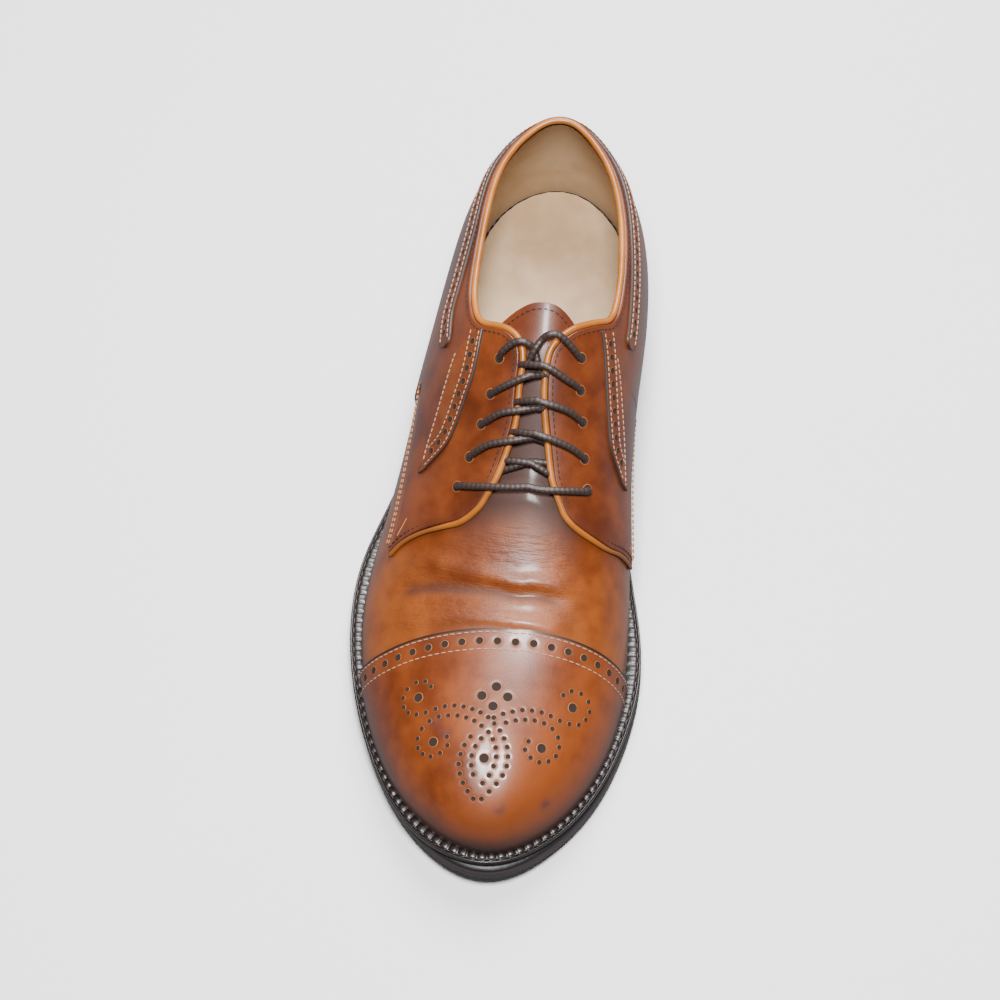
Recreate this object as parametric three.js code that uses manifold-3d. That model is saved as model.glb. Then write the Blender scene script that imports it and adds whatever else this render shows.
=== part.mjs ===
// A brogued derby shoe for the right foot, standing empty on its sole, in millimetres.
// The toe points along -Y, the wearer's outer side is -X, and +Z is up.
// Every piece follows one surface, the last: a ring round the foot where the upper meets the
// welt, a crest line along the top, and one rising curve from the ring to the crest all round.

import * as THREE from 'three';
import { mergeVertices } from 'three/addons/utils/BufferGeometryUtils.js';
import Module from 'manifold-3d';

// Driving sizes of the last
const LENGTH = 288; // along the ring, heel to toe
const BALL_WIDTH = 104; // of the ring across the ball
const HEEL_WIDTH = 72; // of the ring across the heel
const INSTEP_HEIGHT = 88; // of the crest over the ring, at the back
const HEEL_PITCH = 21; // lift of the heel over the ball
const TOE_SPRING = 6.6; // lift of the toe over the ball

// Bottom
const SOLE_THICK = 7.2;
const WELT_THICK = 3.9;
const WELT_REACH = 7.4; // of the welt beyond the upper, where it shows most
const SOLE_REACH = 2.4; // of the sole beyond the welt, at the toe
const WELT_SEAT = 2.2; // of the welt under the upper
const SOLE_CHAMFER = 1;
const SOLE_GROOVE = 0.7; // depth of the step under the welt
const GROOVE_HIGH = 1.1; // of that step
const WELT_ROUND = 0.8; // of the welt's upper edge
const TOP_LIFT = 6; // rubber layer under the heel
const HEEL_TAPER = 2.4; // the heel is narrower at the floor by this much all round
const HEEL_INSET = 0.6; // of the stack behind the sole's edge
const INSOLE_RISE = 1.4; // of the insole's face over the ring

// Leathers
const WALL = 2; // vamp and lining together
const OVERLAY = 1.2; // quarter and toe cap leather
const TRIM = 0.8; // leaf and counter band leather
const TONGUE_THICK = 1.8;
const BEAD = 2.6; // diameter of the rolled edge of the collar and facings
const GAP = 0.3; // between pieces that meet
const BAND_WIDTH = 8;
const EYELET = 4.6; // diameter of each punched hole
const LACE = 2.8;
const EYELETS = 5;

const FOOT = 1.4; // the overlays start this far above the ring
const INSOLE_ROOM = 0.8; // between the insole and the wall

// Sections of the last, heel to toe. "along" is a share of LENGTH, "ball" says how far the
// width has gone from HEEL_WIDTH to BALL_WIDTH, the sides and "side" are shares of that width,
// "pitch" of HEEL_PITCH, "spring" of TOE_SPRING and "rise" of INSTEP_HEIGHT. The last six are
// the pull of each rising curve: out and up at the ring, and across at the crest.
const SECTIONS = [
  // along, ball, lateral, medial, pitch, spring, | crest along, side, rise, | out, up, across: L, M
  [0, 0, -0.021, -0.021, 1, 0, 0.122, -0.014, 0.998, 0.16, 0.16, 0.4, 0.4, 0.84, 0.84],
  [0.021, 0, -0.25, 0.201, 1, 0, 0.128, -0.014, 0.997, 0.2, 0.2, 0.38, 0.4, 0.6, 0.66],
  [0.083, 0, -0.431, 0.396, 0.976, 0, 0.153, 0, 0.994, 0.26, 0.24, 0.36, 0.4, 0.46, 0.58],
  [0.177, 0, -0.5, 0.486, 0.905, 0, 0.198, 0.028, 0.989, 0.32, 0.32, 0.34, 0.4, 0.44, 0.62],
  [0.278, 0.25, -0.488, 0.45, 0.738, 0, 0.278, 0.05, 0.994, 0.32, 0.42, 0.33, 0.43, 0.46, 0.66],
  [0.378, 0.5, -0.494, 0.403, 0.476, 0, 0.368, 0.057, 0.966, 0.24, 0.5, 0.31, 0.44, 0.52, 0.68],
  [0.483, 0.75, -0.51, 0.406, 0.167, 0, 0.462, 0.063, 0.881, 0.12, 0.42, 0.28, 0.45, 0.52, 0.66],
  [0.583, 1, -0.515, 0.438, 0, 0, 0.556, 0.063, 0.75, 0.07, 0.18, 0.32, 0.5, 0.5, 0.64],
  [0.688, 1, -0.523, 0.477, 0, 0, 0.653, 0.063, 0.591, 0.07, 0.05, 0.4, 0.55, 0.52, 0.6],
  [0.795, 1, -0.464, 0.466, 0, 0, 0.736, 0.053, 0.489, 0.04, 0.04, 0.5, 0.6, 0.56, 0.6],
  [0.896, 1, -0.341, 0.38, 0, 0.227, 0.802, 0.048, 0.426, 0.03, 0.04, 0.6, 0.64, 0.62, 0.62],
  [0.969, 1, -0.163, 0.231, 0, 0.682, 0.844, 0.048, 0.375, 0.03, 0.03, 0.64, 0.64, 0.66, 0.66],
  [1, 1, 0.048, 0.048, 0, 1, 0.858, 0.048, 0.345, 0.03, 0.03, 0.66, 0.66, 0.68, 0.68],
];
const TOE = SECTIONS.length - 1;

// Edges on the last, as [station, share of the way from ring to crest]
const RIM = {
  lateral: [[0, 0.546], [1, 0.521], [2, 0.521], [3, 0.531], [4, 0.561], [4.45, 0.604], [4.8, 0.68],
    [5.05, 0.83], [5.3, 0.895], [5.8, 0.9], [6.2, 0.9], [6.5, 0.88], [6.8, 0.855], [7, 0.83]],
  medial: [[0, 0.546], [1, 0.521], [2, 0.521], [3, 0.524], [4, 0.539], [4.45, 0.586], [4.7, 0.7],
    [4.95, 0.82], [5.25, 0.92], [5.5, 0.945], [5.9, 0.942], [6.4, 0.905], [6.8, 0.87], [7, 0.83]],
};
const THROAT = 7; // station where the vamp closes across the crest
const THROAT_RUN = 0.3; // stations over which it closes
const LINING_DROP = 0.006; // the inner wall's rim is lower than the quarters' by this share

const BACK_SEAM = 0.01; // station where each quarter starts at the heel

// Front edge of each quarter, from the welt to the end of the facing
const QUARTER_FRONT = {
  lateral: [[7.6, 0], [7.5, 0.2], [7.38, 0.34], [7.28, 0.43], [7.26, 0.53], [7.29, 0.66], [7.29, 0.73],
    [7.18, 0.79], [7, 0.83]],
  medial: [[6.9, 0], [6.96, 0.2], [7.06, 0.38], [7.17, 0.5], [7.21, 0.6], [7.21, 0.72], [7.14, 0.79],
    [7, 0.83]],
};

// Lower edge of each quarter over the vamp's side, from where it leaves the welt to its front
const SIDE_SEAM = {
  lateral: [[4.93, 0.27], [5.02, 0.31], [5.25, 0.334], [5.58, 0.347], [5.91, 0.354], [6.25, 0.36],
    [6.6, 0.365], [6.92, 0.368], [7.17, 0.366], [7.35, 0.35], [7.7, 0.3]],
  medial: [[4.9, 0.17], [5.02, 0.187], [5.34, 0.213], [5.87, 0.26], [6.31, 0.255], [6.67, 0.235],
    [7, 0.205], [7.4, 0.18]],
};

// Seam of the toe cap, as [place across, station]: outer welt -1, crest 0, inner welt 1
const CAP_SEAM = [[-1, 8.66], [-0.8, 8.7], [-0.63, 8.717], [-0.43, 8.735], [-0.28, 8.776],
  [-0.14, 8.847], [-0.07, 8.899], [0, 8.965], [0.07, 8.864], [0.14, 8.781], [0.32, 8.626],
  [0.5, 8.528], [0.65, 8.476], [0.79, 8.44], [1, 8.38]];

// Front and back edges of the leaf on each quarter
const LEAF = {
  lateral: {
    front: [[4.9, 0.715], [5.41, 0.707], [5.74, 0.679], [6.03, 0.65], [6.25, 0.61], [6.42, 0.51]],
    back: [[5, 0.58], [5.12, 0.567], [5.33, 0.551], [5.82, 0.513], [6.1, 0.49], [6.42, 0.48]],
  },
  medial: {
    front: [[4.72, 0.67], [4.96, 0.637], [5.34, 0.604], [5.72, 0.574], [6, 0.542], [6.24, 0.45]],
    back: [[4.8, 0.54], [5.01, 0.502], [5.31, 0.463], [5.68, 0.423], [6.09, 0.398], [6.24, 0.395]],
  },
};

// Middle line of the perforated band round the counter, from the heel to its round end
const BAND = {
  lateral: [[0, 0.44], [1, 0.44], [2, 0.46], [3, 0.48], [3.8, 0.466], [4.3, 0.458], [4.85, 0.5]],
  medial: [[0, 0.44], [1, 0.44], [2, 0.45], [3, 0.46], [3.8, 0.448], [4.3, 0.44], [4.55, 0.45]],
};

// Eyelets from the collar down
const EYELET_PLACES = {
  lateral: [[5.37, 0.815], [5.79, 0.794], [6.14, 0.768], [6.52, 0.733], [6.86, 0.695]],
  medial: [[5.21, 0.769], [5.59, 0.761], [5.94, 0.737], [6.36, 0.714], [6.71, 0.687]],
};
// How far the welt reaches beyond the ring at each station, as a share of WELT_REACH
const REACH = {
  lateral: [0.54, 0.5, 0.4, 0.3, 0.2, 0.14, 0.34, 0.8, 0.72, 0.58, 0.58, 0.76, 0.66],
  medial: [0.54, 0.5, 0.4, 0.3, 0.22, 0.3, 0.35, 0.42, 0.77, 0.66, 0.6, 0.62, 0.66],
};
// How far the sole reaches beyond the welt at each station, as a share of SOLE_REACH
const SOLE_SHARE = {
  lateral: [0, 0, 0, 0, 0, 0, 0, 0, 0, -0.24, -0.3, -0.1, 1],
  medial: [0, 0, 0, 0, 0, 0, 0, 0, 0, 0.2, 0.4, 0.6, 1],
};

// Control points of a cubic B-spline that passes through the given rows, closed or open
function splineControls(rows, closed) {
  const n = rows.length;
  let controls = rows.map((row) => [...row]);
  for (let pass = 0; pass < 60; pass++) {
    controls = rows.map((row, i) => {
      if (!closed && (i === 0 || i === n - 1)) return [...row];
      const before = controls[(i - 1 + n) % n];
      const after = controls[(i + 1) % n];
      return row.map((value, c) => (6 * value - before[c] - after[c]) / 4);
    });
  }
  if (closed) return controls;
  const mirror = (end, next) => end.map((value, c) => 2 * value - next[c]);
  return [mirror(controls[0], controls[1]), ...controls, mirror(controls[n - 1], controls[n - 2])];
}

function splineAt(controls, closed, u) {
  const n = controls.length;
  const first = closed ? Math.floor(u) : Math.min(Math.max(Math.floor(u), 0), n - 4);
  const f = u - first;
  const weights = [(1 - f) ** 3, 3 * f ** 3 - 6 * f ** 2 + 4, -3 * f ** 3 + 3 * f ** 2 + 3 * f + 1, f ** 3];
  const at = (k) => (closed ? controls[(((first + k - 1) % n) + n) % n] : controls[first + k]);
  return at(0).map((_, c) => weights.reduce((sum, w, k) => sum + (w * at(k)[c]) / 6, 0));
}

// The last's ring and crest, from the sections
function sectionSide(row, side) {
  const [along, ball, lateral, medial, pitch, spring] = row;
  const width = HEEL_WIDTH + ball * (BALL_WIDTH - HEEL_WIDTH);
  const offset = side === 'lateral' ? 0 : 1;
  return [
    width * (offset ? medial : lateral),
    -along * LENGTH,
    pitch * HEEL_PITCH + spring * TOE_SPRING,
    row[9 + offset],
    row[11 + offset],
    row[13 + offset],
    WELT_REACH * REACH[side][SECTIONS.indexOf(row)],
    SOLE_REACH * SOLE_SHARE[side][SECTIONS.indexOf(row)],
  ];
}

const ringControls = splineControls(
  [
    ...SECTIONS.map((row) => sectionSide(row, 'lateral')),
    ...SECTIONS.slice(1, -1).reverse().map((row) => sectionSide(row, 'medial')),
  ],
  true,
);
const BOTTOM = SOLE_THICK + WELT_THICK + 2 * GAP; // from the floor to the ring, at the ball
const crestControls = splineControls(
  SECTIONS.map((row) => {
    const width = HEEL_WIDTH + row[1] * (BALL_WIDTH - HEEL_WIDTH);
    const base = BOTTOM + row[4] * HEEL_PITCH + row[5] * TOE_SPRING;
    return [width * row[7], -row[6] * LENGTH, base + row[8] * INSTEP_HEIGHT];
  }),
  false,
);

const stationOf = (q) => {
  const turn = ((q % (2 * TOE)) + 2 * TOE) % (2 * TOE);
  return turn <= TOE ? turn : 2 * TOE - turn;
};
const ringAt = (q) => splineAt(ringControls, true, q);
const FLAT = 0.06; // lift under which the sole lies flat on the floor
const liftAt = (q) => Math.max(0, ringAt(q)[2] - FLAT);
const crestAt = (v) => new THREE.Vector3(...splineAt(crestControls, false, v));

function crestSlope(v) {
  const a = crestAt(Math.max(v - 0.02, 0));
  const b = crestAt(Math.min(v + 0.02, TOE));
  return b.sub(a);
}

// The surface of the last: q runs round the ring, t up from the ring (0) to the crest (1)
function last(q, t) {
  const v = stationOf(q);
  const top = crestAt(v);
  if (t >= 1) return top;
  const [x, y, , out, up, across] = ringAt(q);
  const foot = new THREE.Vector3(x, y, BOTTOM + liftAt(q));
  const side = new THREE.Vector3(x - top.x, y - top.y, 0);
  const width = side.length();
  const height = top.z - foot.z;
  side.normalize();
  const slope = crestSlope(v);
  const run = Math.hypot(slope.x, slope.y);
  const forward = (side.x * slope.x + side.y * slope.y) / run;
  const low = foot.clone().addScaledVector(side, out * width);
  low.z += up * height;
  const high = top.clone().addScaledVector(side, across * width);
  high.z += (slope.z / run) * forward * across * width;
  return new THREE.CubicBezierCurve3(foot, low, high, top).getPoint(t);
}

function normalAt(q, t) {
  if (t >= 1) {
    const slope = crestSlope(stationOf(q));
    return new THREE.Vector3(slope.y, -slope.x, 0).cross(slope).normalize();
  }
  const step = 0.004;
  const around = last(q + step, t).sub(last(q - step, t));
  const rising = last(q, Math.min(t + step, 1)).sub(last(q, Math.max(t - step, 0)));
  return around.cross(rising).normalize();
}
const offsetPoint = (q, t, out) => last(q, t).addScaledVector(normalAt(q, t), out);

// Steps along a table of pairs: the value of one column where the other has a given value
function lookUp(rows, from, to, at) {
  const n = rows.length - 1;
  let i = 0;
  while (i < n - 1 && at > rows[i + 1][from]) i++;
  const slope = (k) => {
    const a = rows[Math.max(k - 1, 0)];
    const b = rows[Math.min(k + 1, n)];
    return (b[to] - a[to]) / (b[from] - a[from] || 1);
  };
  const width = rows[i + 1][from] - rows[i][from];
  const f = Math.min(Math.max((at - rows[i][from]) / width, 0), 1);
  const ease = f * f * (3 - 2 * f);
  const bend = f * (1 - f) * width * ((1 - f) * slope(i) - f * slope(i + 1));
  return rows[i][to] * (1 - ease) + rows[i + 1][to] * ease + bend;
}
const rimAt = (side, v) => lookUp(RIM[side], 0, 1, Math.min(v, THROAT));
const ringPlace = (side, v) => (side === 'lateral' ? v : 2 * TOE - v);
const sideOf = (q) => (q <= TOE ? 'lateral' : 'medial');

// Solids from points and faces
const wasm = await Module();
wasm.setup();

function solid(points, faces) {
  const flat = faces.flatMap((face) => {
    const fan = [];
    for (let k = 1; k < face.length - 1; k++) fan.push(points[face[0]], points[face[k]], points[face[k + 1]]);
    return fan;
  });
  const loose = new THREE.BufferGeometry().setFromPoints(flat);
  return toManifold(loose);
}

function toManifold(geometry) {
  const bare = geometry.clone();
  bare.deleteAttribute('normal');
  bare.deleteAttribute('uv');
  const merged = mergeVertices(bare, 1e-4);
  const index = [];
  for (let i = 0; i < merged.index.count; i += 3) {
    const [a, b, c] = [0, 1, 2].map((k) => merged.index.getX(i + k));
    if (a !== b && b !== c && c !== a) index.push(a, b, c);
  }
  const mesh = new wasm.Mesh({
    numProp: 3,
    vertProperties: new Float32Array(merged.attributes.position.array),
    triVerts: new Uint32Array(index),
  });
  return new wasm.Manifold(mesh);
}

function toGeometry(manifold) {
  const mesh = manifold.getMesh();
  const geometry = new THREE.BufferGeometry();
  geometry.setAttribute('position', new THREE.BufferAttribute(new Float32Array(mesh.vertProperties), 3));
  geometry.setIndex(new THREE.BufferAttribute(new Uint32Array(mesh.triVerts), 1));
  const flat = geometry.toNonIndexed();
  flat.computeVertexNormals();
  return flat;
}

// A slab across the shoe: one outline per layer, top layer first, from station "start" to "end"
function slab(start, end, layers, pace = 2.5) {
  const steps = Math.round((end - start) * pace);
  const stations = Array.from({ length: steps + 1 }, (_, i) => start + ((end - start) * i) / steps);
  const points = [];
  for (const layer of layers) {
    for (const side of ['lateral', 'medial']) {
      for (const v of stations) points.push(layer(ringPlace(side, v), v));
    }
  }
  const m = stations.length;
  const at = (layer, side, i) => (layer * 2 + side) * m + i;
  const faces = [];
  const deep = layers.length - 1;
  for (let i = 0; i < m - 1; i++) {
    faces.push([at(0, 0, i), at(0, 0, i + 1), at(0, 1, i + 1), at(0, 1, i)]);
    faces.push([at(deep, 0, i), at(deep, 1, i), at(deep, 1, i + 1), at(deep, 0, i + 1)]);
    for (let k = 0; k < deep; k++) {
      faces.push([at(k, 0, i), at(k + 1, 0, i), at(k + 1, 0, i + 1), at(k, 0, i + 1)]);
      faces.push([at(k, 1, i), at(k, 1, i + 1), at(k + 1, 1, i + 1), at(k + 1, 1, i)]);
    }
  }
  for (let k = 0; k < deep; k++) {
    faces.push([at(k, 0, 0), at(k, 1, 0), at(k + 1, 1, 0), at(k + 1, 0, 0)]);
    faces.push([at(k, 0, m - 1), at(k + 1, 0, m - 1), at(k + 1, 1, m - 1), at(k, 1, m - 1)]);
  }
  return solid(points, faces);
}

// A point beside the ring: "out" beyond it on the level, at height z
function beside(q, out, z) {
  const [x, y] = ringAt(q);
  const a = ringAt(q - 0.05);
  const b = ringAt(q + 0.05);
  const run = Math.hypot(b[0] - a[0], b[1] - a[1]);
  return new THREE.Vector3(x - (out * (a[1] - b[1])) / run, y - (out * (b[0] - a[0])) / run, z);
}
const reachAt = (q) => ringAt(q)[6];
const soleAt = (q) => reachAt(q) + ringAt(q)[7];

// A patch of the surface with thickness: "place" gives [q, t] for shares across and along
function patch(across, along, place, inner, outer) {
  const points = [];
  for (const out of [inner, outer]) {
    for (let j = 0; j <= along; j++) {
      for (let i = 0; i <= across; i++) {
        const [q, t] = place(i / across, j / along);
        points.push(offsetPoint(q, t, out));
      }
    }
  }
  const at = (layer, i, j) => (layer * (along + 1) + j) * (across + 1) + i;
  const faces = [];
  for (let j = 0; j < along; j++) {
    for (let i = 0; i < across; i++) {
      faces.push([at(0, i, j), at(0, i, j + 1), at(0, i + 1, j + 1), at(0, i + 1, j)]);
      faces.push([at(1, i, j), at(1, i + 1, j), at(1, i + 1, j + 1), at(1, i, j + 1)]);
    }
    faces.push([at(0, 0, j), at(1, 0, j), at(1, 0, j + 1), at(0, 0, j + 1)]);
    faces.push([at(0, across, j), at(0, across, j + 1), at(1, across, j + 1), at(1, across, j)]);
  }
  for (let i = 0; i < across; i++) {
    faces.push([at(0, i, 0), at(0, i + 1, 0), at(1, i + 1, 0), at(1, i, 0)]);
    if (place(i / across, 1)[1] < 1 || place((i + 1) / across, 1)[1] < 1) {
      faces.push([at(0, i, along), at(1, i, along), at(1, i + 1, along), at(0, i + 1, along)]);
    }
  }
  return solid(points, faces);
}

// The whole last as one closed form, "out" beyond the surface, its ring drawn down by "drop"
function lastForm(out, drop) {
  const ROUND = 4.5 * TOE;
  const RISE = 8;
  const points = [];
  for (let j = 0; j <= RISE; j++) {
    for (let i = 0; i < ROUND; i++) points.push(offsetPoint((2 * TOE * i) / ROUND, j / RISE, out));
  }
  const skirt = points.length;
  for (let i = 0; i < ROUND; i++) points.push(points[i].clone().setZ(points[i].z - drop));
  const at = (i, j) => j * ROUND + (i % ROUND);
  const faces = [];
  for (let i = 0; i < ROUND; i++) {
    for (let j = 0; j < RISE; j++) faces.push([at(i, j), at(i + 1, j), at(i + 1, j + 1), at(i, j + 1)]);
    faces.push([skirt + i, skirt + ((i + 1) % ROUND), at(i + 1, 0), at(i, 0)]);
  }
  for (let i = 0; i < ROUND / 2; i++) {
    const low = [i, i + 1].map((k) => skirt + k);
    const far = [i, i + 1].map((k) => skirt + ((ROUND - k) % ROUND));
    faces.push([low[0], far[0], far[1], low[1]]);
  }
  return solid(points, faces);
}

// How far one unit of t goes up the surface, near a place on it
function rise(q, t) {
  const [low, high] = [Math.max(t - 0.01, 0), Math.min(t + 0.01, 1)];
  return last(q, high).distanceTo(last(q, low)) / (high - low);
}
const footShare = (q) => FOOT / rise(q, 0);
const ringHeight = (q) => BOTTOM + liftAt(q);

// The band of leather between two heights over the last, kept only within a patch of it
function skin(inner, outer, region) {
  return lastForm(outer, 0).subtract(lastForm(inner, 0)).intersect(region);
}

// Everything above the rim: the foot's way in, and the throat down to the vamp
function opening() {
  const REACH_IN = 6;
  const SKY = 90;
  const rim = (q, v) => {
    const closing = Math.min(Math.max((v - THROAT + THROAT_RUN) / THROAT_RUN, 0), 1);
    const edge = rimAt(sideOf(q), v) - LINING_DROP;
    return closing >= 1 ? 1 : edge + (1 - edge) * closing ** 2;
  };
  const outside = (q, v) => offsetPoint(q, rim(q, v), REACH_IN);
  return slab(0, THROAT, [
    (q, v) => outside(q, v).add(new THREE.Vector3(0, 0, SKY)),
    outside,
    (q, v) => offsetPoint(q, rim(q, v), -REACH_IN),
  ], 4);
}

// Punched holes for the laces, square to the surface
function eyeletPunches() {
  return ['lateral', 'medial'].flatMap((side) =>
    EYELET_PLACES[side].map(([v, t]) => {
      const q = ringPlace(side, v);
      const punch = new THREE.CylinderGeometry(EYELET / 2, EYELET / 2, 12, 8);
      const turn = new THREE.Quaternion().setFromUnitVectors(new THREE.Vector3(0, 1, 0), normalAt(q, t));
      const middle = last(q, t);
      return toManifold(punch.applyQuaternion(turn).translate(middle.x, middle.y, middle.z));
    }),
  );
}
const mouth = opening();
const punches = eyeletPunches();
const punched = (leather) => punches.reduce((rest, punch) => rest.subtract(punch), leather);

// Bottom pieces
function outsole() {
  const top = (q) => SOLE_THICK + liftAt(q);
  return slab(0, TOE, [
    (q) => beside(q, soleAt(q) - SOLE_GROOVE, top(q)),
    (q) => beside(q, soleAt(q) - SOLE_GROOVE, top(q) - GROOVE_HIGH),
    (q) => beside(q, soleAt(q), top(q) - GROOVE_HIGH - SOLE_GROOVE),
    (q) => beside(q, soleAt(q), liftAt(q) + SOLE_CHAMFER),
    (q) => beside(q, soleAt(q) - SOLE_CHAMFER, liftAt(q)),
  ]);
}

function welt() {
  const top = (q) => ringHeight(q) - GAP;
  const plate = slab(0, TOE, [
    (q) => beside(q, reachAt(q) - WELT_ROUND, top(q)),
    (q) => beside(q, reachAt(q), top(q) - WELT_ROUND),
    (q) => beside(q, reachAt(q), top(q) - WELT_THICK),
  ]);
  const within = slab(0, TOE, [
    (q) => beside(q, -WELT_SEAT, top(q) + 1),
    (q) => beside(q, -WELT_SEAT, top(q) - WELT_THICK - 1),
  ]);
  return plate.subtract(within);
}

const BREAST = 3.67; // station of the heel's front face
function heelSlab(high, low) {
  const inset = (z, q) => HEEL_INSET + SOLE_CHAMFER + HEEL_TAPER * (1 - z / Math.max(liftAt(q), 1));
  const layer = (height) => (q) => beside(q, reachAt(q) - inset(height(q), q), height(q));
  return slab(0, BREAST, [layer(high), layer(low)]);
}
const heelStack = () => heelSlab((q) => liftAt(q) - GAP, () => TOP_LIFT + GAP);
const heelTopLift = () => heelSlab(() => TOP_LIFT, () => 0);

function insole() {
  const inset = -(WALL + INSOLE_ROOM);
  return slab(0, TOE, [
    (q) => beside(q, inset, ringHeight(q) + INSOLE_RISE),
    (q) => beside(q, inset, ringHeight(q) - GAP - WELT_THICK),
  ]);
}

// Upper and what is sewn on it
const upper = () => punched(lastForm(0, 0).subtract(lastForm(-WALL, 20)).subtract(mouth));

function toeCap() {
  const place = (u, w) => {
    const side = u <= 0.5 ? 'lateral' : 'medial';
    const seam = lookUp(CAP_SEAM, 0, 1, side === 'lateral' ? w - 1 : 1 - w);
    const v = seam + (TOE - seam) * (1 - Math.abs(2 * u - 1));
    const q = ringPlace(side, v);
    const foot = footShare(q);
    return [q, w >= 1 ? 1 : foot + (1 - foot) * w];
  };
  return skin(GAP, GAP + OVERLAY, patch(16, 8, place, -2, 4));
}

// Where the vamp's side shows under the quarter's lower edge
function vampSide(side) {
  const seam = SIDE_SEAM[side];
  const [start, end] = [seam[0][0], seam[seam.length - 1][0]];
  const place = (u, w) => {
    const v = start + (end - start) * (side === 'lateral' ? u : 1 - u);
    return [ringPlace(side, v), lookUp(seam, 0, 1, v) * w];
  };
  return patch(14, 2, place, -2.5, 4.5);
}

function quarter(side) {
  const place = (u, w) => {
    const share = side === 'lateral' ? u : 1 - u;
    const tip = rimAt(side, THROAT);
    const front = lookUp(QUARTER_FRONT[side], 1, 0, w * tip);
    const v = BACK_SEAM + (front - BACK_SEAM) * share;
    const q = ringPlace(side, v);
    const foot = footShare(q);
    return [q, foot + (rimAt(side, (v * THROAT) / front) - foot) * w];
  };
  const leather = skin(GAP, GAP + OVERLAY, patch(22, 8, place, -2, 4));
  return punched(leather.subtract(vampSide(side)));
}

const TRIM_SEAT = 2 * GAP + OVERLAY;
function leaf(side) {
  const { front, back } = LEAF[side];
  const [tip] = front[front.length - 1];
  const place = (u, w) => {
    const start = back[0][0] + (front[0][0] - back[0][0]) * w;
    const v = start + (tip - start) * (side === 'lateral' ? u : 1 - u);
    const low = lookUp(back, 0, 1, v);
    return [ringPlace(side, v), low + (lookUp(front, 0, 1, v) - low) * w];
  };
  return patch(8, 2, place, TRIM_SEAT, TRIM_SEAT + TRIM);
}

function counterBand() {
  const ends = ['medial', 'lateral'].map((side) => BAND[side][BAND[side].length - 1][0]);
  const ROUND_END = 0.16; // stations over which an end is rounded
  const place = (u, w) => {
    const along = -ends[0] + (ends[0] + ends[1]) * u;
    const side = along < 0 ? 'medial' : 'lateral';
    const v = Math.abs(along);
    const q = ringPlace(side, v);
    const middle = lookUp(BAND[side], 0, 1, v);
    const toEnd = Math.min((side === 'lateral' ? ends[1] : ends[0]) - v, ROUND_END) / ROUND_END;
    const full = Math.sqrt(1 - 0.9 * (1 - toEnd) ** 2);
    return [q, middle + ((w - 0.5) * BAND_WIDTH * full) / rise(q, middle)];
  };
  return patch(24, 2, place, TRIM_SEAT, TRIM_SEAT + TRIM);
}

// A round cord or bead through points
function roundCord(points, diameter, steps, sides) {
  const section = new THREE.Shape(new THREE.EllipseCurve(0, 0, diameter / 2, diameter / 2).getPoints(sides));
  const path = new THREE.CatmullRomCurve3(points, false, 'centripetal');
  return toManifold(new THREE.ExtrudeGeometry(section, { steps, extrudePath: path, bevelEnabled: false }));
}

// Where the bead leaves the rim and lies on the vamp, by station
const BEAD_LIFT = [[THROAT - 3 * THROAT_RUN, 0], [THROAT - 1.6 * THROAT_RUN, 1]];

// The way out of the leather at the rim, square to its edge and along the surface
function offTheRim(side, v) {
  const point = (at) => last(ringPlace(side, at), rimAt(side, at));
  const edge = point(Math.min(v + 0.06, THROAT)).sub(point(Math.max(v - 0.06, 0)));
  const q = ringPlace(side, v);
  const out = edge.cross(normalAt(q, rimAt(side, v))).normalize();
  return out.multiplyScalar(side === 'lateral' ? -1 : 1);
}

function collarBead() {
  const points = [];
  for (let v = -THROAT; v <= THROAT + 0.01; v += 0.25) {
    const side = v < 0 ? 'medial' : 'lateral';
    const q = ringPlace(side, Math.abs(v));
    const t = rimAt(side, Math.abs(v));
    const onVamp = lookUp(BEAD_LIFT, 0, 1, Math.abs(v));
    const inWall = (OVERLAY + GAP - WALL) / 2;
    const middle = offsetPoint(q, t, inWall + (BEAD / 2 + 2 * GAP - inWall) * onVamp);
    points.push(middle.addScaledVector(offTheRim(side, Math.abs(v)), BEAD / 2 + 2 * GAP));
  }
  return roundCord(points, BEAD, 64, 6);
}

// Tongue: from under the vamp to above the collar, across the crest
const TONGUE_TOP = [[0, 4.68], [0.1, 4.69], [0.2, 4.8], [0.28, 4.98], [0.34, 5.3]];
const TONGUE_END = 7.6;
const TONGUE_SIDE = 0.34; // how far it goes down each side
function tongue() {
  const place = (u, w) => {
    const across = (2 * u - 1) * TONGUE_SIDE;
    const top = lookUp(TONGUE_TOP, 0, 1, Math.abs(across));
    const v = TONGUE_END + (top - TONGUE_END) * w;
    return [ringPlace(across < 0 ? 'lateral' : 'medial', v), 1 - Math.abs(across)];
  };
  const outer = -(WALL + GAP);
  const region = patch(8, 6, place, outer - TONGUE_THICK - 1, outer + 1);
  return skin(outer - TONGUE_THICK, outer, region);
}

// Laces: each strand is a list of [station, way across from the crest, height over the last]
const LACE_SEAT = GAP + OVERLAY + 0.4 + LACE / 2; // of a lace's middle on the quarter
const BAR_RISE = 2; // of the bar over both beads
const LACE_LOW = -0.3; // of a lace's middle down in the throat
function strand(rows) {
  const points = rows.map(([v, across, height]) =>
    offsetPoint(ringPlace(across < 0 ? 'lateral' : 'medial', v), 1 - Math.abs(across), height));
  return roundCord(points, LACE, 8, 8);
}
const eyeletRow = (row) =>
  ['lateral', 'medial'].map((side) => {
    const [v, t] = EYELET_PLACES[side][row];
    return [v, (side === 'lateral' ? -1 : 1) * (1 - t)];
  });

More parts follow.
